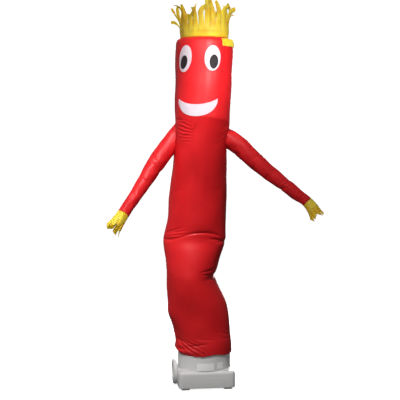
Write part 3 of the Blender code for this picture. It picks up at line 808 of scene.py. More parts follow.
round_angles = np.arange(ARM_COLUMNS) * TURN / ARM_COLUMNS
for side, arm in ARMS.items():
    arm["name"] = f"{side} sleeve"
    arm["line"] = smooth_line(arm["rows"])
    arm["root"] = sleeve_root(arm, round_angles, 0.0)
    lengths = arm["root"].min().round(3), arm["root"].max().round(3)
    print(arm["name"], "starts between", lengths, "and ends at", arm["wrist"])

# %% [markdown]
# The body's cloth is cut open where the sleeves join it, so air can pass into them. The cut is a
# Boolean difference with the inside of each sleeve, as scissors would cut along its seam.

# %% Body cloth
BORE_START = 0.004
BORE_END = 0.190


def evaluated_copy(source, name):
    """A plain mesh object with everything that the source's modifiers make."""
    graph = bpy.context.evaluated_depsgraph_get()
    mesh = bpy.data.meshes.new_from_object(source.evaluated_get(graph), depsgraph=graph)
    return placed(name, mesh)


def discard(piece):
    bpy.data.objects.remove(piece, do_unlink=True)


def plug(name, grid):
    """A closed solid that fills a grid of rings."""
    rows, columns = grid.shape[:2]
    faces = grid_faces(rows, columns, 0, True, False)
    faces.append(tuple(range(columns))[::-1])
    faces.append(tuple(range((rows - 1) * columns, rows * columns)))
    return mesh_object(name, grid.reshape(-1, 3), faces, red_nylon)


def make_body():
    angles = np.arange(BODY_COLUMNS) * TURN / BODY_COLUMNS
    outer = skin(angles[None, :], body_rows[:, None])
    inner = outer - CLOTH * normals_of(outer, True)
    chart = cloth_chart(angles[None, :], body_rows[:, None], "body")
    whole = sheet_between("whole tube", outer, inner, red_nylon, True, chart)
    bores = []
    for side, arm in ARMS.items():
        lengths = np.linspace(BORE_START, BORE_END, 60)
        rings = sleeve_skin(arm, round_angles[None, :], lengths[:, None], CLOTH)
        bore = plug(f"bore {side}", rings)
        bores.append(bore)
        cut = whole.modifiers.new(f"armhole {side}", "BOOLEAN")
        cut.operation = "DIFFERENCE"
        cut.solver = "MANIFOLD"
        cut.object = bore
    made = evaluated_copy(whole, "body_cloth")
    for helper in (whole, *bores):
        discard(helper)
    return made


body_cloth = make_body()
print("body cloth has", len(body_cloth.data.polygons), "faces")

# %% [markdown]
# Each sleeve has two walls, and both begin where their own threads leave the body. Its seam
# therefore lies on the body's cloth all the way round.

# %% Sleeves
def make_sleeve(side):
    arm = ARMS[side]
    share = np.linspace(0.0, 1.0, ARM_ROWS)[:, None]
    walls = []
    for inset in (0.0, CLOTH):
        root = sleeve_root(arm, round_angles, inset)
        lengths = root + (arm["wrist"] - root) * share
        walls.append(sleeve_skin(arm, round_angles[None, :], lengths, inset))
    chart = cloth_chart(round_angles[None, :], lengths, "sleeve")
    return sheet_between(f"sleeve_{side}", *walls, red_nylon, True, chart)


sleeves = {side: make_sleeve(side) for side in ARMS}
print("sleeves:", [piece.name for piece in sleeves.values()])

# %% [markdown]
# Each cuff is a short yellow sleeve sewn to the wrist, and its end is cut into eight fingers.
# A cut strip of thin cloth curls: it bends along its length and cups across its width. Every
# strip here is walked from its root in small steps, turning a little more at each.

# %% Strips of cut cloth
STRIP_ACROSS = 6


def walk_strip(root, up, outwards, length, bend, steps):
    """Front and back grids of a strip. The root is its two lower corners. The bend gives, in
    degrees, its lean outwards, turn aside, wave, the curl and hook of its tip, and its twist."""
    across = root[1] - root[0]
    width = np.linalg.norm(across)
    across = across / width
    outwards = outwards - across * (outwards @ across) - up * (outwards @ up)
    outwards /= np.linalg.norm(outwards)
    middle = (root[0] + root[1]) / 2
    span = np.linspace(-0.5, 0.5, STRIP_ACROSS)
    fronts, backs, charts = [], [], []
    for step in range(steps + 1):
        share = step / steps
        free = max(0.0, share - bend["held"]) / (1 - bend["held"])
        tilt = bend["lean"] * free**0.7
        tilt += bend["wave"] * math.sin(bend["phase"] + 5 * share) * free
        tilt += bend["curl"] * max(0.0, share - 0.6) / 0.4
        aside = bend["turn"] * free + bend["hook"] * max(0.0, share - 0.55) / 0.45
        aside += 0.4 * bend["wave"] * math.sin(3.1 * bend["phase"] + 7 * share) * free
        roll = math.radians(bend["twist"] * free**1.5)
        tilt, aside = math.radians(tilt), math.radians(aside)
        climb = up * math.cos(aside) + across * math.sin(aside)
        flat = across * math.cos(aside) - up * math.sin(aside)
        heading = climb * math.cos(tilt) + outwards * math.sin(tilt)
        thick = outwards * math.cos(tilt) - climb * math.sin(tilt)
        wide = flat * math.cos(roll) + thick * math.sin(roll)
        thick = thick * math.cos(roll) - flat * math.sin(roll)
        if step:
            middle = middle + heading * length / steps
        closed = bend["closed"] * max(0.0, 1 - share / max(bend["held"], 0.01))
        narrow = width * (1 - bend["taper"] * free**3 + closed)
        rounding = math.sin(math.pi * min(1.0, free * 1.6) / 2)
        cup = bend["root cup"] + (bend["cup"] - bend["root cup"]) * rounding
        row = middle + wide * narrow * span[:, None]
        row = row - thick * (cup * narrow * (4 * span**2 - 1))[:, None]
        slant = bend["slant"] * max(0.0, share - 0.7) / 0.3
        row = row + heading * (slant * narrow * span)[:, None]
        fronts.append(row + thick * CLOTH / 2)
        backs.append(row - thick * CLOTH / 2)
        charts.append(np.stack([span * narrow, np.full(STRIP_ACROSS, share * length)], axis=-1))
    return np.array(fronts), np.array(backs), np.array(charts)


def strips_object(name, strips, material):
    """Many strips in one mesh."""
    points, faces, charts = [], [], []
    start = 0
    for front, back, chart in strips:
        rows, columns = front.shape[:2]
        behind = rows * columns
        fresh = grid_faces(rows, columns, 0, False, False)
        fresh += grid_faces(rows, columns, behind, False, True)
        fresh += edge_faces(rows, columns, behind, False)
        faces += [tuple(corner + start for corner in face) for face in fresh]
        points += [front.reshape(-1, 3), back.reshape(-1, 3)]
        charts += [chart.reshape(-1, 2)] * 2
        start += 2 * behind
    return mesh_object(name, np.concatenate(points), faces, material, np.concatenate(charts))


# %% [markdown]
# A cuff carries the sleeve's tube on past the wrist. The fingers stand on its end, nearly as wide
# as their share of it, and each leans, turns and twists a little in its own way.

# %% Cuffs and fingers
CUFF_LENGTH = 0.046
CUFF_ROWS = 24
STRIP_ROOT = 0.008
FINGERS = 8
FINGER_SHARE = 0.96
FINGER_STEPS = 22
FINGER_LENGTHS = (0.028, 0.044)
FINGER_LEANS = (2.0, 14.0)
FINGER_TURN = 6.0
FINGER_WAVE = 10.0


def make_cuff(side):
    arm = ARMS[side]
    start = arm["wrist"] + GAP
    lengths = np.linspace(start, start + CUFF_LENGTH, CUFF_ROWS)[:, None]
    walls = [sleeve_skin(arm, round_angles[None, :], lengths, inset) for inset in (0.0, CLOTH)]
    chart = cloth_chart(round_angles[None, :], lengths, "cuff")
    return sheet_between(f"cuff_cloth_{side}", *walls, yellow_nylon, True, chart)


def make_fingers(side):
    arm = ARMS[side]
    start = arm["wrist"] + 2 * GAP + CUFF_LENGTH
    chance = random.Random(f"fingers {side}")
    pitch = TURN / FINGERS
    lengths = np.array([start, start + STRIP_ROOT])
    ends = arm["line"](lengths)[:, :3]
    up = (ends[1] - ends[0]) / np.linalg.norm(ends[1] - ends[0])
    strips = []
    for finger in range(FINGERS):
        corners = np.array([finger * pitch, finger * pitch + pitch * FINGER_SHARE])
        root = sleeve_skin(arm, corners, start, CLOTH / 2)
        length = chance.uniform(*FINGER_LENGTHS) + STRIP_ROOT
        bend = {
            "lean": chance.uniform(*FINGER_LEANS),
            "turn": chance.uniform(-FINGER_TURN, FINGER_TURN),
            "wave": chance.uniform(-FINGER_WAVE, FINGER_WAVE),
            "phase": 0.0,
            "curl": 10.0,
            "hook": 0.0,
            "twist": (-25.0, 15.0, 35.0)[finger % 3],
            "slant": (0.9, -0.6)[finger % 2],
            "held": 0.0,
            "closed": 0.0,
            "root cup": 0.08,
            "cup": 0.12,
            "taper": 0.12,
        }
        outwards = root.mean(axis=0) - ends[0]
        strips.append(walk_strip(root, up, outwards, length, bend, FINGER_STEPS))
    return strips_object(f"finger_strips_{side}", strips, yellow_nylon)


cuffs = {side: make_cuff(side) for side in ARMS}
fingers = {side: make_fingers(side) for side in ARMS}
print(FINGERS, "fingers on each of", len(cuffs), "cuffs")

# %% [markdown]
# The hair is one band of yellow cloth sewn into the crown and cut into strips from above. Air
# leaves between the strips and throws them about, so some curl over and some stand straight.

# %% Hair
HAIR_BAND_HEIGHT = 0.028
HAIR_FLARE = 0.10
HAIR_COLUMNS = 156
HAIR_STRIPS = 26
HAIR_SHARE = 0.93
HAIR_STEPS = 40
BAND_SLIT = 0.00005
HAIR_LENGTHS = (0.107, 0.145)
HAIR_LEANS = (6.0, 23.0)
HAIR_PHASES = (0.0, 2.0)
HAIR_LEAN_SPREAD = 3.0
HAIR_TURN = 13.0
HAIR_WAVES = (10.0, 26.0)
LOOSE_STRIPS = {  # strip: length, lean outwards, turn aside, curl and hook of the tip, twist
    18: (0.128, 24.0, 6.0, 0.0, 0.0, 60.0),
    19: (0.074, 92.0, -3.0, 0.0, 0.0, 75.0),
    20: (0.122, 54.0, 6.0, 0.0, 0.0, 70.0),
    21: (0.150, 16.0, -8.0, 62.0, -30.0, 30.0),
    22: (0.128, 9.0, -9.0, 40.0, 0.0, -30.0),
    23: (0.098, 12.0, 12.0, 0.0, 60.0, 35.0),
    24: (0.128, 10.0, -12.0, 0.0, 40.0, 60.0),
    25: (0.146, 9.0, -14.0, 0.0, 150.0, 12.0),
    0: (0.160, 5.0, 3.0, 0.0, 0.0, 12.0),
    1: (0.146, 14.0, -7.0, 0.0, -16.0, -15.0),
    2: (0.142, 4.0, 9.0, 0.0, -40.0, 25.0),
    3: (0.132, 18.0, 3.0, 40.0, 45.0, 30.0),
    4: (0.126, 8.0, -5.0, -34.0, 0.0, -15.0),
    5: (0.126, 24.0, 6.0, 20.0, 55.0, 30.0),
}
crown_middle_x, crown_middle_y, crown_half, _ = section(np.array([CROWN]))
CROWN_PLACE = np.array([crown_middle_x[0], crown_middle_y[0], CROWN + GAP])


def hair_ring(angles, height, inset):
    """Points on the band, which flares a little and ripples where it is gathered."""
    angles = np.asarray(angles, dtype=float)
    ripple = 0.0012 * np.sin(13 * angles + 1.0) * min(1.0, height / HAIR_BAND_HEIGHT)
    wide = crown_half[0] + HAIR_FLARE * height - inset + ripple
    ring = np.stack([np.sin(angles) * wide, -np.cos(angles) * wide, 0 * angles], axis=-1)
    return ring + CROWN_PLACE + (0.0, 0.0, height)


def make_hair_band():
    angles = np.arange(HAIR_COLUMNS) * TURN / HAIR_COLUMNS
    heights = np.linspace(0.0, HAIR_BAND_HEIGHT, 12)
    walls = [
        np.stack([hair_ring(angles, height, inset) for height in heights])
        for inset in (0.0, CLOTH)
    ]
    chart = cloth_chart(angles[None, :], heights[:, None], "band")
    return sheet_between("hair_band_cloth", *walls, yellow_nylon, True, chart)


def make_hair():
    chance = random.Random("hair")
    twists = random.Random("hair twists")
    pitch = TURN / HAIR_STRIPS
    foot = HAIR_BAND_HEIGHT + BAND_SLIT
    up = np.array([0.0, 0.0, 1.0])
    strips = []
    for strip in range(HAIR_STRIPS):
        length = chance.uniform(*HAIR_LENGTHS)
        lean = HAIR_LEANS[strip % 2] + chance.uniform(-HAIR_LEAN_SPREAD, HAIR_LEAN_SPREAD)
        turn = chance.uniform(-HAIR_TURN, HAIR_TURN)
        wave = chance.uniform(*HAIR_WAVES)
        curl, hook = twists.uniform(-50, 70), twists.uniform(-60, 60)
        twist = twists.uniform(-50, 50)
        if strip in LOOSE_STRIPS:
            length, lean, turn, curl, hook, twist = LOOSE_STRIPS[strip]
        corners = np.array([strip * pitch, strip * pitch + pitch * HAIR_SHARE])
        root = hair_ring(corners, foot, CLOTH / 2)
        bend = {
            "lean": lean,
            "turn": turn,
            "wave": wave,
            "phase": HAIR_PHASES[strip % 2],
            "curl": curl,
            "hook": hook,
            "twist": twist,
            "slant": twists.uniform(-0.9, 0.9),
            "held": 0.22,
            "closed": 1.12 / HAIR_SHARE - 1,
            "root cup": 0.033,
            "cup": 0.14,
            "taper": twists.uniform(0.15, 0.70),
        }
        outwards = root.mean(axis=0) - CROWN_PLACE
        outwards[2] = 0.0
        strips.append(walk_strip(root, up, outwards, length + STRIP_ROOT, bend, HAIR_STEPS))
    return strips_object("hair_strips", strips, yellow_nylon)


hair_band = make_hair_band()
hair_strips = make_hair()
print(HAIR_STRIPS, "hair strips")

# %% [markdown]
# The face is three patches and two pupils. A patch is cut flat, so its outline is drawn in turns
# round the head and heights, between two edges, and each of its points is then lifted a little
# off the skin.

# %% Face patches
PATCH = 0.0012
HEAD_RADIUS = 0.146
EYE_WIDTH = 0.082
PUPIL_WIDTH = 0.044
OVAL_ROWS = 56
PATCH_COLUMNS = 26
EYES = {  # angle at the middle, foot, top, turn of the top against the foot
    "left": (-40.0, 1.606, 1.738, 5.0),
    "right": (17.0, 1.611, 1.736, 1.0),
}
PUPILS = {
    "left": (-41.5, 1.621, 1.688, 4.0),
    "right": (19.2, 1.621, 1.690, 1.0),
}
MOUTH = {"from": -56.0, "to": 30.5, "corner": 1.476, "upper": 1.447, "lower": 1.389}
MOUTH_BLUNT = 0.010
MOUTH_COLUMNS = 90


def oval_edges(angle, foot, top, turn, width, inset=0.0):
    """Left and right edges of an upright oval: angles in degrees and heights, row by row."""
    around = np.radians(np.linspace(2.0, 178.0, OVAL_ROWS))
    heights = (foot + top) / 2 - ((top - foot) / 2 - inset) * np.cos(around)
    middle = angle - turn / 2 * np.cos(around)
    half = np.degrees((width / 2 - inset) / HEAD_RADIUS) * np.sin(around)
    return np.stack([middle - half, heights], axis=-1), np.stack([middle + half, heights], axis=-1)


def smile_edges(inset=0.0):
    """Lower and upper edges of the mouth, column by column."""
    blunt = MOUTH_BLUNT + inset / 0.2
    share = blunt + (1 - 2 * blunt) * (1 - np.cos(np.linspace(0, math.pi, MOUTH_COLUMNS))) / 2
    angles = MOUTH["from"] + (MOUTH["to"] - MOUTH["from"]) * share
    across = 2 * share - 1
    upper = MOUTH["upper"] + (MOUTH["corner"] - MOUTH["upper"]) * across**2 - inset
    round_share = np.sqrt(np.maximum(0.0, 1 - across**2))
    lower = MOUTH["corner"] - (MOUTH["corner"] - MOUTH["lower"]) * round_share + inset
    return np.stack([angles, lower], axis=-1), np.stack([angles, np.maximum(upper, lower)], axis=-1)


def on_head(places, lift):
    """Points off the skin, for angles in degrees seen from the head's middle and heights."""
    seen, heights = np.radians(places[..., 0]), places[..., 1]
    _, _, half_width, half_depth = section(heights)
    angles = np.arctan2(np.sin(seen) / half_width, np.cos(seen) / half_depth)
    return off_skin(angles, heights, lift)


def make_patch(name, edges, lift, material, columns=PATCH_COLUMNS):
    """Cloth between two edges. Its rim lies closer to the skin than its middle."""
    first, last = edges
    share = (1 - np.cos(np.linspace(0, math.pi, columns))) / 2
    places = first[:, None] + (last - first)[:, None] * share[None, :, None]
    rim = np.minimum(np.sin(np.linspace(0, math.pi, columns)) * 4, 1.0)[None, :, None]
    back = on_head(places, lift)
    front = back + (on_head(places, lift + PATCH) - back) * (0.45 + 0.55 * rim)
    flat = np.stack([np.radians(places[..., 0]) * HEAD_RADIUS, places[..., 1]], axis=-1)
    return sheet_between(name, front, back, material, False, flat)


face = {}
for side in EYES:
    face[f"eye_{side}"] = make_patch(
        f"eye_patch_{side}", oval_edges(*EYES[side], EYE_WIDTH), GAP, white_cloth
    )
    face[f"pupil_{side}"] = make_patch(
        f"pupil_patch_{side}", oval_edges(*PUPILS[side], PUPIL_WIDTH), 2 * GAP + PATCH, black_cloth
    )
face["mouth"] = make_patch("mouth_patch", smile_edges(), GAP, white_cloth)
print("face patches:", sorted(face))

# %% [markdown]
# The loose flap at the head's right starts flat on the skin. It stands off more and more towards
# its free end, and waves a little there.

# %% Hair flap
FLAP_ANGLES = (38.6, 102.8)
FLAP_HEIGHTS = (1.7352, 1.7718)
FLAP_STAND_OFF = 0.0075


def make_flap():
    rows, columns = 22, 40
    share = np.linspace(0, 1, columns)
    angles = np.radians(FLAP_ANGLES[0] + (FLAP_ANGLES[1] - FLAP_ANGLES[0]) * share)
    heights = np.linspace(*FLAP_HEIGHTS, rows)
    angles, heights = np.meshgrid(angles, heights)
    normal = skin_normals(angles, heights, 0.008)
    away = GAP + 0.0006 + FLAP_STAND_OFF * share**2
    ripple = 0.0010 * np.sin(9 * share + 2.0) * share
    back = skin(angles, heights) + normal * (away + ripple)[None, :, None]
    chart = cloth_chart(angles, heights, "flap")
    return sheet_between("hair_flap_cloth", back + normal * CLOTH, back, yellow_nylon, False, chart)


hair_flap = make_flap()
print("flap made")

# %% [markdown]
# Thread holds the pieces together. A stitch is a short round bar sunk half into the cloth, and
# the same bar repeats at an even pitch along every seam. Geometry Nodes do that well: a path
# becomes a curve, the curve is counted off in points, and a bar stands on each point, turned
# along the path. The sizes are the tree's inputs, so one tree serves every seam.

# %% Stitching with Geometry Nodes
STITCH_PITCH = 0.0060
STITCH_LENGTH = 0.0042
THREAD_RADIUS = 0.00045


class Nodes:
    """A Geometry Nodes tree under construction."""

    def __init__(self, name):
        self.tree = bpy.data.node_groups.new(name, "GeometryNodeTree")
        self.tree.interface.new_socket("Geometry", in_out="INPUT", socket_type="NodeSocketGeometry")
        self.tree.interface.new_socket("Geometry", in_out="OUTPUT", socket_type="NodeSocketGeometry")
        self.entry = self.tree.nodes.new("NodeGroupInput")
        self.exit = self.tree.nodes.new("NodeGroupOutput")

    def size(self, name, value):
        socket = self.tree.interface.new_socket(name, in_out="INPUT", socket_type="NodeSocketFloat")
        socket.default_value = value
        return self.entry.outputs[name]

    def node(self, kind, settings=None, output=0, **sockets):
        made = self.tree.nodes.new(kind)
        for setting, value in (settings or {}).items():
            setattr(made, setting, value)
        for socket, value in sockets.items():
            entry = made.inputs[socket.replace("_", " ")]
            if isinstance(value, bpy.types.NodeSocket):
                self.tree.links.new(value, entry)
            else:
                entry.default_value = value
        return made.outputs[output]

    def finish(self, geometry, material):
        real = self.node("GeometryNodeRealizeInstances", Geometry=geometry)
        dressed = self.node("GeometryNodeSetMaterial", Geometry=real, Material=material)
        self.tree.links.new(dressed, self.exit.inputs[0])


def stitch_tree(material):
    made = Nodes(f"stitches of {material.name}")
    pitch = made.size("Pitch", STITCH_PITCH)
    length = made.size("Stitch length", STITCH_LENGTH)
    radius = made.size("Thread radius", THREAD_RADIUS)
    path = made.node("GeometryNodeMeshToCurve", Mesh=made.entry.outputs[0])
    places = made.node("GeometryNodeResampleCurve", {"mode": "LENGTH"}, Curve=path, Length=pitch)
    along = made.node("GeometryNodeInputTangent")
    turn = made.node("FunctionNodeAlignRotationToVector", {"axis": "Z"}, Vector=along)
    bar = made.node(
        "GeometryNodeMeshCylinder", Vertices=6, Side_Segments=1, Radius=radius, Depth=length
    )
    bars = made.node("GeometryNodeInstanceOnPoints", Points=places, Instance=bar, Rotation=turn)
    made.finish(bars, material)
    return made.tree


def stitch_row(name, paths, material, pitch=STITCH_PITCH):
    """Stitches along paths. A path is its points and whether it closes."""
    points, edges = [], []
    for path, closed in paths:
        start = len(points)
        points += (path + AXIS).tolist()
        edges += [(start + step, start + step + 1) for step in range(len(path) - 1)]
        if closed:
            edges.append((start + len(path) - 1, start))
    mesh = bpy.data.meshes.new(f"{name} path")
    mesh.from_pydata(points, edges, [])
    line = placed(f"{name} path", mesh)
    sewing = line.modifiers.new("sewing", "NODES")
    sewing.node_group = stitch_tree(material)
    inputs = {item.name: item.identifier for item in sewing.node_group.interface.items_tree}
    sewing[inputs["Pitch"]] = pitch
    made = evaluated_copy(line, name)
    discard(line)
    made.data.shade_smooth()
    return made


def thread(name, colour):
    twisted = Finish(name, Specular_IOR_Level=0.4)
    fibres = twisted.noise(900.0, 2.0)
    twisted.feed("Base Color", twisted.mix(fibres, colour, tuple(0.7 * part for part in colour)))
    twisted.feed("Roughness", 0.5 + fibres * 0.2)
    return twisted.material


red_thread = thread("red thread", (0.50, 0.008, 0.012))
yellow_thread = thread("yellow thread", (0.86, 0.50, 0.01))
pale_thread = thread("pale thread", (0.72, 0.62, 0.66))
black_thread = thread("black thread", (0.03, 0.02, 0.025))

# %% [markdown]
# The seams run where a maker sews: up both sides of the tube, round the hem, under the hair,
# round the armholes, at the wrists, and close inside the edge of every patch.

# %% Seams
SEAM_OFF = 0.00015
HEM_STITCHES = (0.012, 0.020)
SIDE_STITCHES = 0.0035
CROWN_STITCHES = 0.007
JOINED_STITCHES = 0.005  # from an armhole, a wrist or the band's foot
PATCH_STITCHES = 0.003
PUPIL_STITCHES = 0.0025
PATCH_STITCH_PITCH = 0.0050


def ring_on_skin(height, count=220):
    angles = np.arange(count) * TURN / count
    return off_skin(angles, np.full(count, height), SEAM_OFF)


def side_line(angle, aside):
    heights = np.arange(HEM + 0.03, CROWN - 0.006, 0.004)
    angles = np.full(len(heights), math.radians(angle)) + aside / 0.143
    return off_skin(angles, heights, SEAM_OFF)


def ring_on_sleeve(side, off_length, root=False):
    """A ring a little past the sleeve's root, or at a length along it."""
    arm = ARMS[side]
    lengths = (arm["root"] if root else 0.0) + np.full(ARM_COLUMNS, off_length)
    return sleeve_skin(arm, round_angles, lengths, -SEAM_OFF)


def patch_ring(edges, lift):
    first, last = edges
    return on_head(np.concatenate([first, last[::-1]]), lift + PATCH * 0.8)


red_paths = [(ring_on_skin(HEM + height), True) for height in HEM_STITCHES]
red_paths += [(ring_on_skin(CROWN - CROWN_STITCHES), True)]
for seam in SIDE_SEAMS:
    red_paths += [(side_line(seam, aside), False) for aside in (-SIDE_STITCHES, SIDE_STITCHES)]
for side in ARMS:
    red_paths.append((ring_on_sleeve(side, JOINED_STITCHES, root=True), True))
    red_paths.append((ring_on_sleeve(side, ARMS[side]["wrist"] - JOINED_STITCHES), True))
yellow_paths = [
    (ring_on_sleeve(side, ARMS[side]["wrist"] + JOINED_STITCHES), True) for side in ARMS
]
yellow_paths += [(hair_ring(round_angles, JOINED_STITCHES, -SEAM_OFF), True)]
pale_paths, black_paths = [], []
for side in EYES:
    edges = oval_edges(*EYES[side], EYE_WIDTH, PATCH_STITCHES)
    pale_paths.append((patch_ring(edges, GAP), True))
    edges = oval_edges(*PUPILS[side], PUPIL_WIDTH, PUPIL_STITCHES)
    black_paths.append((patch_ring(edges, 2 * GAP + PATCH), True))
pale_paths.append((patch_ring(smile_edges(PATCH_STITCHES), GAP), True))
stitches = [
    stitch_row("stitches_red", red_paths, red_thread),
    stitch_row("stitches_yellow", yellow_paths, yellow_thread),
    stitch_row("stitches_pale", pale_paths, pale_thread, PATCH_STITCH_PITCH),
    stitch_row("stitches_black", black_paths, black_thread, PATCH_STITCH_PITCH),
]
print("stitch faces:", {piece.name: len(piece.data.polygons) for piece in stitches})

# %% [markdown]
# The blower is moulded grey plastic. Light catches its rounded edges, its surface has the fine
# grain of a mould, and dust from the ground dulls it low down.

# %% Grey plastic
def moulded(name, colour, dusty):
    plastic = Finish(name, Specular_IOR_Level=0.45)
    grain = plastic.noise(1400.0, 2.0)
    cloudy = plastic.noise(9.0, 4.0)
    height = parts_of(plastic.tree, plastic.place().socket)[2]
    dust = (1 - height.ramp(0.0, 0.06)) * cloudy.ramp(0.35, 0.75) * 0.5
    plastic.feed("Base Color", plastic.mix(dust, colour, dusty))
    plastic.feed("Roughness", 0.42 + (grain - 0.5) * 0.10 + dust * 0.25)
    plastic.relief(grain * 0.5 + cloudy * 0.3, 0.0003, 0.35)
    return plastic.material


grey_plastic = moulded("grey plastic", (0.70, 0.69, 0.68), (0.68, 0.66, 0.63))
pale_plastic = moulded("pale plastic", (0.93, 0.92, 0.91), (0.90, 0.88, 0.85))

# %% [markdown]
# The housing is a lofted shell: one ring of points after another, from the bottom edge up the
# sides, over the rounded shoulder, in across the top, up the drum, over its rolled rim, and down
# inside. The rings turn from a rounded square into a circle on the way.

# %% Blower housing
YAW = 7.0
BOX_WIDTH = 0.290
BOX_DEPTH = 0.280
BOX_FOOT = 0.010
BOX_TOP = 0.095
BOX_CORNER = 0.020
BOX_SHOULDER = 0.016
BOX_EDGE = 0.004
PARTING_GROOVE = (  # height, inset
    (0.0460, 0.0),
    (0.0465, 0.0010),
    (0.0480, 0.0010),
    (0.0485, 0.0),
)
DRUM_WALL = 0.003
BORE_FLOOR = 0.016
HOUSING_COLUMNS = 240


def circle(radius):
    angles = np.arange(HOUSING_COLUMNS) * TURN / HOUSING_COLUMNS
    return np.stack([np.sin(angles), -np.cos(angles)], axis=-1) * radius


def rounded_square(inset):
    """A ring of points of the box's outline, moved in by the inset, at even turns."""
    half = np.array([BOX_WIDTH / 2 - inset, BOX_DEPTH / 2 - inset])
    corner = max(BOX_CORNER - inset, 0.004)
    ray = circle(1)
    far = 1 / np.max(np.abs(ray) / half, axis=-1, keepdims=True)
    flat = ray * far
    core = half - corner
    centre = np.sign(ray) * core
    in_corner = np.all(np.abs(flat) > core, axis=-1)
    middle_way = np.sum(ray * centre, axis=-1)
    root = np.sqrt(np.maximum(0.0, middle_way**2 - np.sum(centre**2, axis=-1) + corner**2))
    rounded = ray * (middle_way + root)[:, None]
    return np.where(in_corner[:, None], rounded, flat)


def turned(points):
    """Turn points about the blower's axis by its yaw."""
    yaw = math.radians(YAW)
    cosine, sine = math.cos(yaw), math.sin(yaw)
    turn = np.array([[cosine, -sine, 0], [sine, cosine, 0], [0, 0, 1]])
    return points @ turn.T


def arc(count):
    return [math.radians(90 * step / count) for step in range(count + 1)]


def housing_rings():
    """Rings of the shell as (outline, height)."""
    rings = [(rounded_square(BOX_EDGE), BOX_FOOT)]
    for turn in arc(4):
        height = BOX_FOOT + BOX_EDGE * (1 - math.cos(turn))
        rings.append((rounded_square(BOX_EDGE * (1 - math.sin(turn))), height))
    rings += [(rounded_square(inset), height) for height, inset in PARTING_GROOVE]
    flank = BOX_TOP - BOX_SHOULDER
    for turn in arc(10):
        inset = BOX_SHOULDER * (1 - math.cos(turn))
        rings.append((rounded_square(inset), flank + BOX_SHOULDER * math.sin(turn)))
    inner_square = rounded_square(BOX_SHOULDER)
    foot_circle = circle(DRUM_RADIUS)
    for share in (0.5, 1.0):
        blend = inner_square + (foot_circle - inner_square) * share
        far = np.linalg.norm(blend, axis=-1, keepdims=True)
        rings.append((blend / far * np.maximum(far, DRUM_RADIUS), BOX_TOP))
    rim = DRUM_WALL / 2
    rings += [(circle(DRUM_RADIUS), height) for height in (0.100, 0.150, 0.200, DRUM_TOP - rim)]
    for turn in arc(6) + [math.pi - angle for angle in arc(6)[::-1][1:]]:
        wide = DRUM_RADIUS - rim + rim * math.cos(turn)
        rings.append((circle(wide), DRUM_TOP - rim + rim * math.sin(turn)))
    for height in (0.150, BORE_FLOOR):
        rings.append((circle(DRUM_RADIUS - DRUM_WALL), height))
    rings.append((circle(0.004), BORE_FLOOR))
    return rings


def make_housing():
    rings = housing_rings()
    grid = np.stack([
        np.concatenate([outline, np.full((HOUSING_COLUMNS, 1), height)], axis=-1)
        for outline, height in rings
    ])
    faces = grid_faces(len(rings), HOUSING_COLUMNS, 0, True, False)
    faces.append(tuple(range(HOUSING_COLUMNS))[::-1])
    faces.append(tuple(range((len(rings) - 1) * HOUSING_COLUMNS, len(rings) * HOUSING_COLUMNS)))
    made = mesh_object("housing_shell", turned(grid.reshape(-1, 3)), faces, grey_plastic)
    made.data.set_sharp_from_angle(angle=math.radians(35))
    return made


housing = make_housing()
print("housing faces:", len(housing.data.polygons))

# %% [markdown]
# The frame keeps its solids, for their weight and for touch. Each finer piece stands in for its
# solid and hides it. The table also gives the size that each piece of cloth was cut to.

# %% Cloth in place of its solids
ROOT = "root"
OVAL_FILL = 0.785  # the part of its square that an oval covers
SMILE_FILL = 0.61
cloth_pieces = [  # piece, node, slot, flat width and length, part of it cut, held how, on what
    (body_cloth, "body_tube", "red_nylon", (0.90, 1.61), 1.0, "stretched", housing),
    (hair_band, "hair_band", "yellow_nylon", (0.78, 0.028), 1.0, "stretched", body_cloth),
    (hair_strips, "hair", "yellow_nylon", (0.76, 0.13), 0.9, "hung", hair_band),
    (hair_flap, "hair_flap", "yellow_nylon", (0.16, 0.037), 1.0, "hung", body_cloth),
    (face["mouth"], "mouth", "white_cloth", (0.22, 0.087), SMILE_FILL, "laid", body_cloth),
]
for side in ARMS:
    sleeve, cuff, eye = sleeves[side], cuffs[side], face[f"eye_{side}"]
    pupil = face[f"pupil_{side}"]
    cloth_pieces += [
        (sleeve, f"arm_{side}", "red_nylon", (0.24, 0.50), 1.0, "stretched", body_cloth),
        (cuff, f"cuff_{side}", "yellow_nylon", (0.22, 0.046), 1.0, "stretched", sleeve),
        (fingers[side], f"fingers_{side}", "yellow_nylon", (0.20, 0.056), 0.8, "hung", cuff),
        (eye, f"eye_{side}", "white_cloth", (EYE_WIDTH, 0.132), OVAL_FILL, "laid", body_cloth),
        (pupil, f"pupil_{side}", "black_cloth", (PUPIL_WIDTH, 0.068), OVAL_FILL, "laid", eye),
    ]
for piece, node, slot, flat, cut, held, carrier in cloth_pieces:
    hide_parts(node)
    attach(piece, ROOT)
    area = cut * flat[0] * flat[1]
for piece in stitches:
    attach(piece, ROOT)
print(len(cloth_pieces), "pieces of cloth stand in for their solids")

# %% [markdown]
# The housing's shell stands in for its solid too. The blower's small parts keep their own
# shapes, and only their finish changes.

# %% Plastic
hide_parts("blower_housing")
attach(housing, ROOT)
finishes = {
    "air_intake": grey_plastic,
    "cord_gland": grey_plastic,
    "plate_large": pale_plastic,
    "plate_small": pale_plastic,
}
for foot in ("front_left", "front_right", "rear_left", "rear_right"):
    finishes[f"foot_{foot}"] = grey_plastic
for node, finish in finishes.items():
    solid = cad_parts[node]
    for place in solid.material_slots:
        place.material = finish
print(len(finishes), "solids of the blower keep their shape and get a finish")

# %% [markdown]
# The light is a soft studio: a dim pale room all round, and three soft boxes behind grids. One is
# high at the front left and grazes the upright cloth, so that each crease shows. A second one
# reaches only the head, which is the brightest part, and a third fills in from behind. The floor
# is milky plastic lit from below and a white ring closes the view, as for product photographs.
# Only the camera sees these two, so that their light doesn't flatten the folds.

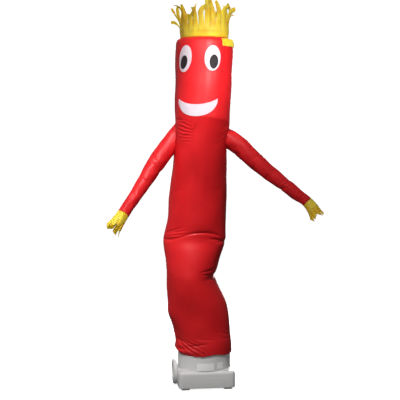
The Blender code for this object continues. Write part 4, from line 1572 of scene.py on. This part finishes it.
# %% Studio
FLOOR_REACH = 16.0
FLOOR_GLOW = 0.80
BACKDROP_HEIGHT = 9.0
BACKDROP_SIDES = 96
ROOM_LEVELS = ((-0.10, 0.46, 0.13), (0.46, 1.10, 0.44))  # foot, top and light
SHADED_SIDE = 0.45
SHADED_BACK = 0.60
SOFT_BOXES = {  # place, what it is aimed at, side, watts, radius of its pool there
    "body light": ((-0.70, -2.05, 3.05), (-0.22, -0.10, 0.90), 0.60, 3.9, 0.86),
    "head light": ((0.85, -2.10, 2.75), (0.03, -0.15, 1.68), 0.22, 1.12, 0.38),
    "back light": ((0.10, 3.40, 1.50), (0.00, 0.00, 0.95), 1.40, 42.0, 4.0),
}


def glowing(strength):
    return {"Emission_Color": (1.0, 1.0, 1.0, 1.0), "Emission_Strength": strength}


def floor_finish():
    pale = Finish("pale floor", Specular_IOR_Level=0.2, **glowing(FLOOR_GLOW))
    cloudy = pale.noise(0.8, 3.0)
    pale.feed("Base Color", pale.mix(cloudy, (0.86, 0.86, 0.87), (0.82, 0.82, 0.83)))
    pale.feed("Roughness", 0.75 + cloudy * 0.1)
    pale.relief(pale.noise(240.0, 2.0), 0.0002, 0.3)
    return pale.material


def make_stage(name, points, faces, finish):
    """Something that only the camera sees: it neither lights the figure nor shows in its gloss."""
    mesh = bpy.data.meshes.new(name)
    mesh.from_pydata(points, [], faces)
    mesh.materials.append(finish)
    made = placed(name, mesh)
    made.visible_diffuse = False
    made.visible_glossy = False
    made.visible_shadow = False


def make_floor():
    turns = ((-1, -1), (1, -1), (1, 1), (-1, 1))
    corners = [(x * FLOOR_REACH, y * FLOOR_REACH, 0.0) for x, y in turns]
    make_stage("floor", corners, [(0, 1, 2, 3)], floor_finish())


def make_backdrop():
    """A white ring round the studio, as far off as the floor reaches."""
    angles = [TURN * side / BACKDROP_SIDES for side in range(BACKDROP_SIDES)]
    ring = [(FLOOR_REACH * math.cos(angle), FLOOR_REACH * math.sin(angle)) for angle in angles]
    points = [(*place, height) for height in (-0.1, BACKDROP_HEIGHT) for place in ring]
    faces = []
    for side in range(BACKDROP_SIDES):
        beside = (side + 1) % BACKDROP_SIDES
        faces.append((side, side + BACKDROP_SIDES, beside + BACKDROP_SIDES, beside))
    white = Finish("white backdrop", Roughness=1.0, **glowing(1.0))
    white.feed("Base Color", white.mix(white.noise(0.5), (0.80, 0.80, 0.80), (0.76, 0.76, 0.76)))
    make_stage("backdrop", points, faces, white.material)


def make_room():
    """Light from all round by height, with less of it from the right and from behind."""
    world = bpy.data.worlds.new("pale room")
    world.use_nodes = True
    tree = world.node_tree
    place = tree.nodes.new("ShaderNodeTexCoord")
    rightwards, backwards, upwards = parts_of(tree, place.outputs["Generated"])
    height = upwards * 0.5 + 0.5
    to_right = rightwards.ramp(-0.1, 0.7)
    to_back = backwards.ramp(-0.1, 0.5)
    level = height * 0.0
    for foot, top, light in ROOM_LEVELS:
        level = level + (height.ramp(foot, foot + 0.04) - height.ramp(top, top + 0.04)) * light
    level = level * (1 - to_right * (1 - SHADED_SIDE)) * (1 - to_back * (1 - SHADED_BACK))
    tree.nodes["Background"].inputs["Color"].default_value = (1.0, 1.0, 1.0, 1.0)
    tree.links.new(level.socket, tree.nodes["Background"].inputs["Strength"])
    bpy.context.scene.world = world


def make_soft_box(name, place, aim, side, watts, pool):
    """A square lamp behind a grid, which keeps its light within a pool round its aim."""
    panel = bpy.data.lights.new(name, "AREA")
    panel.size = side
    panel.energy = watts
    throw = Vector(aim) - Vector(place)
    panel.spread = 2 * math.atan(pool / throw.length)
    lamp = placed(name, panel)
    lamp.location = place
    lamp.rotation_euler = throw.to_track_quat("-Z", "Y").to_euler()


make_floor()
make_backdrop()
make_room()
for name, settings in SOFT_BOXES.items():
    make_soft_box(name, *settings)
bpy.context.scene.view_settings.view_transform = "Standard"
print("the floor reaches", FLOOR_REACH, "m each way")
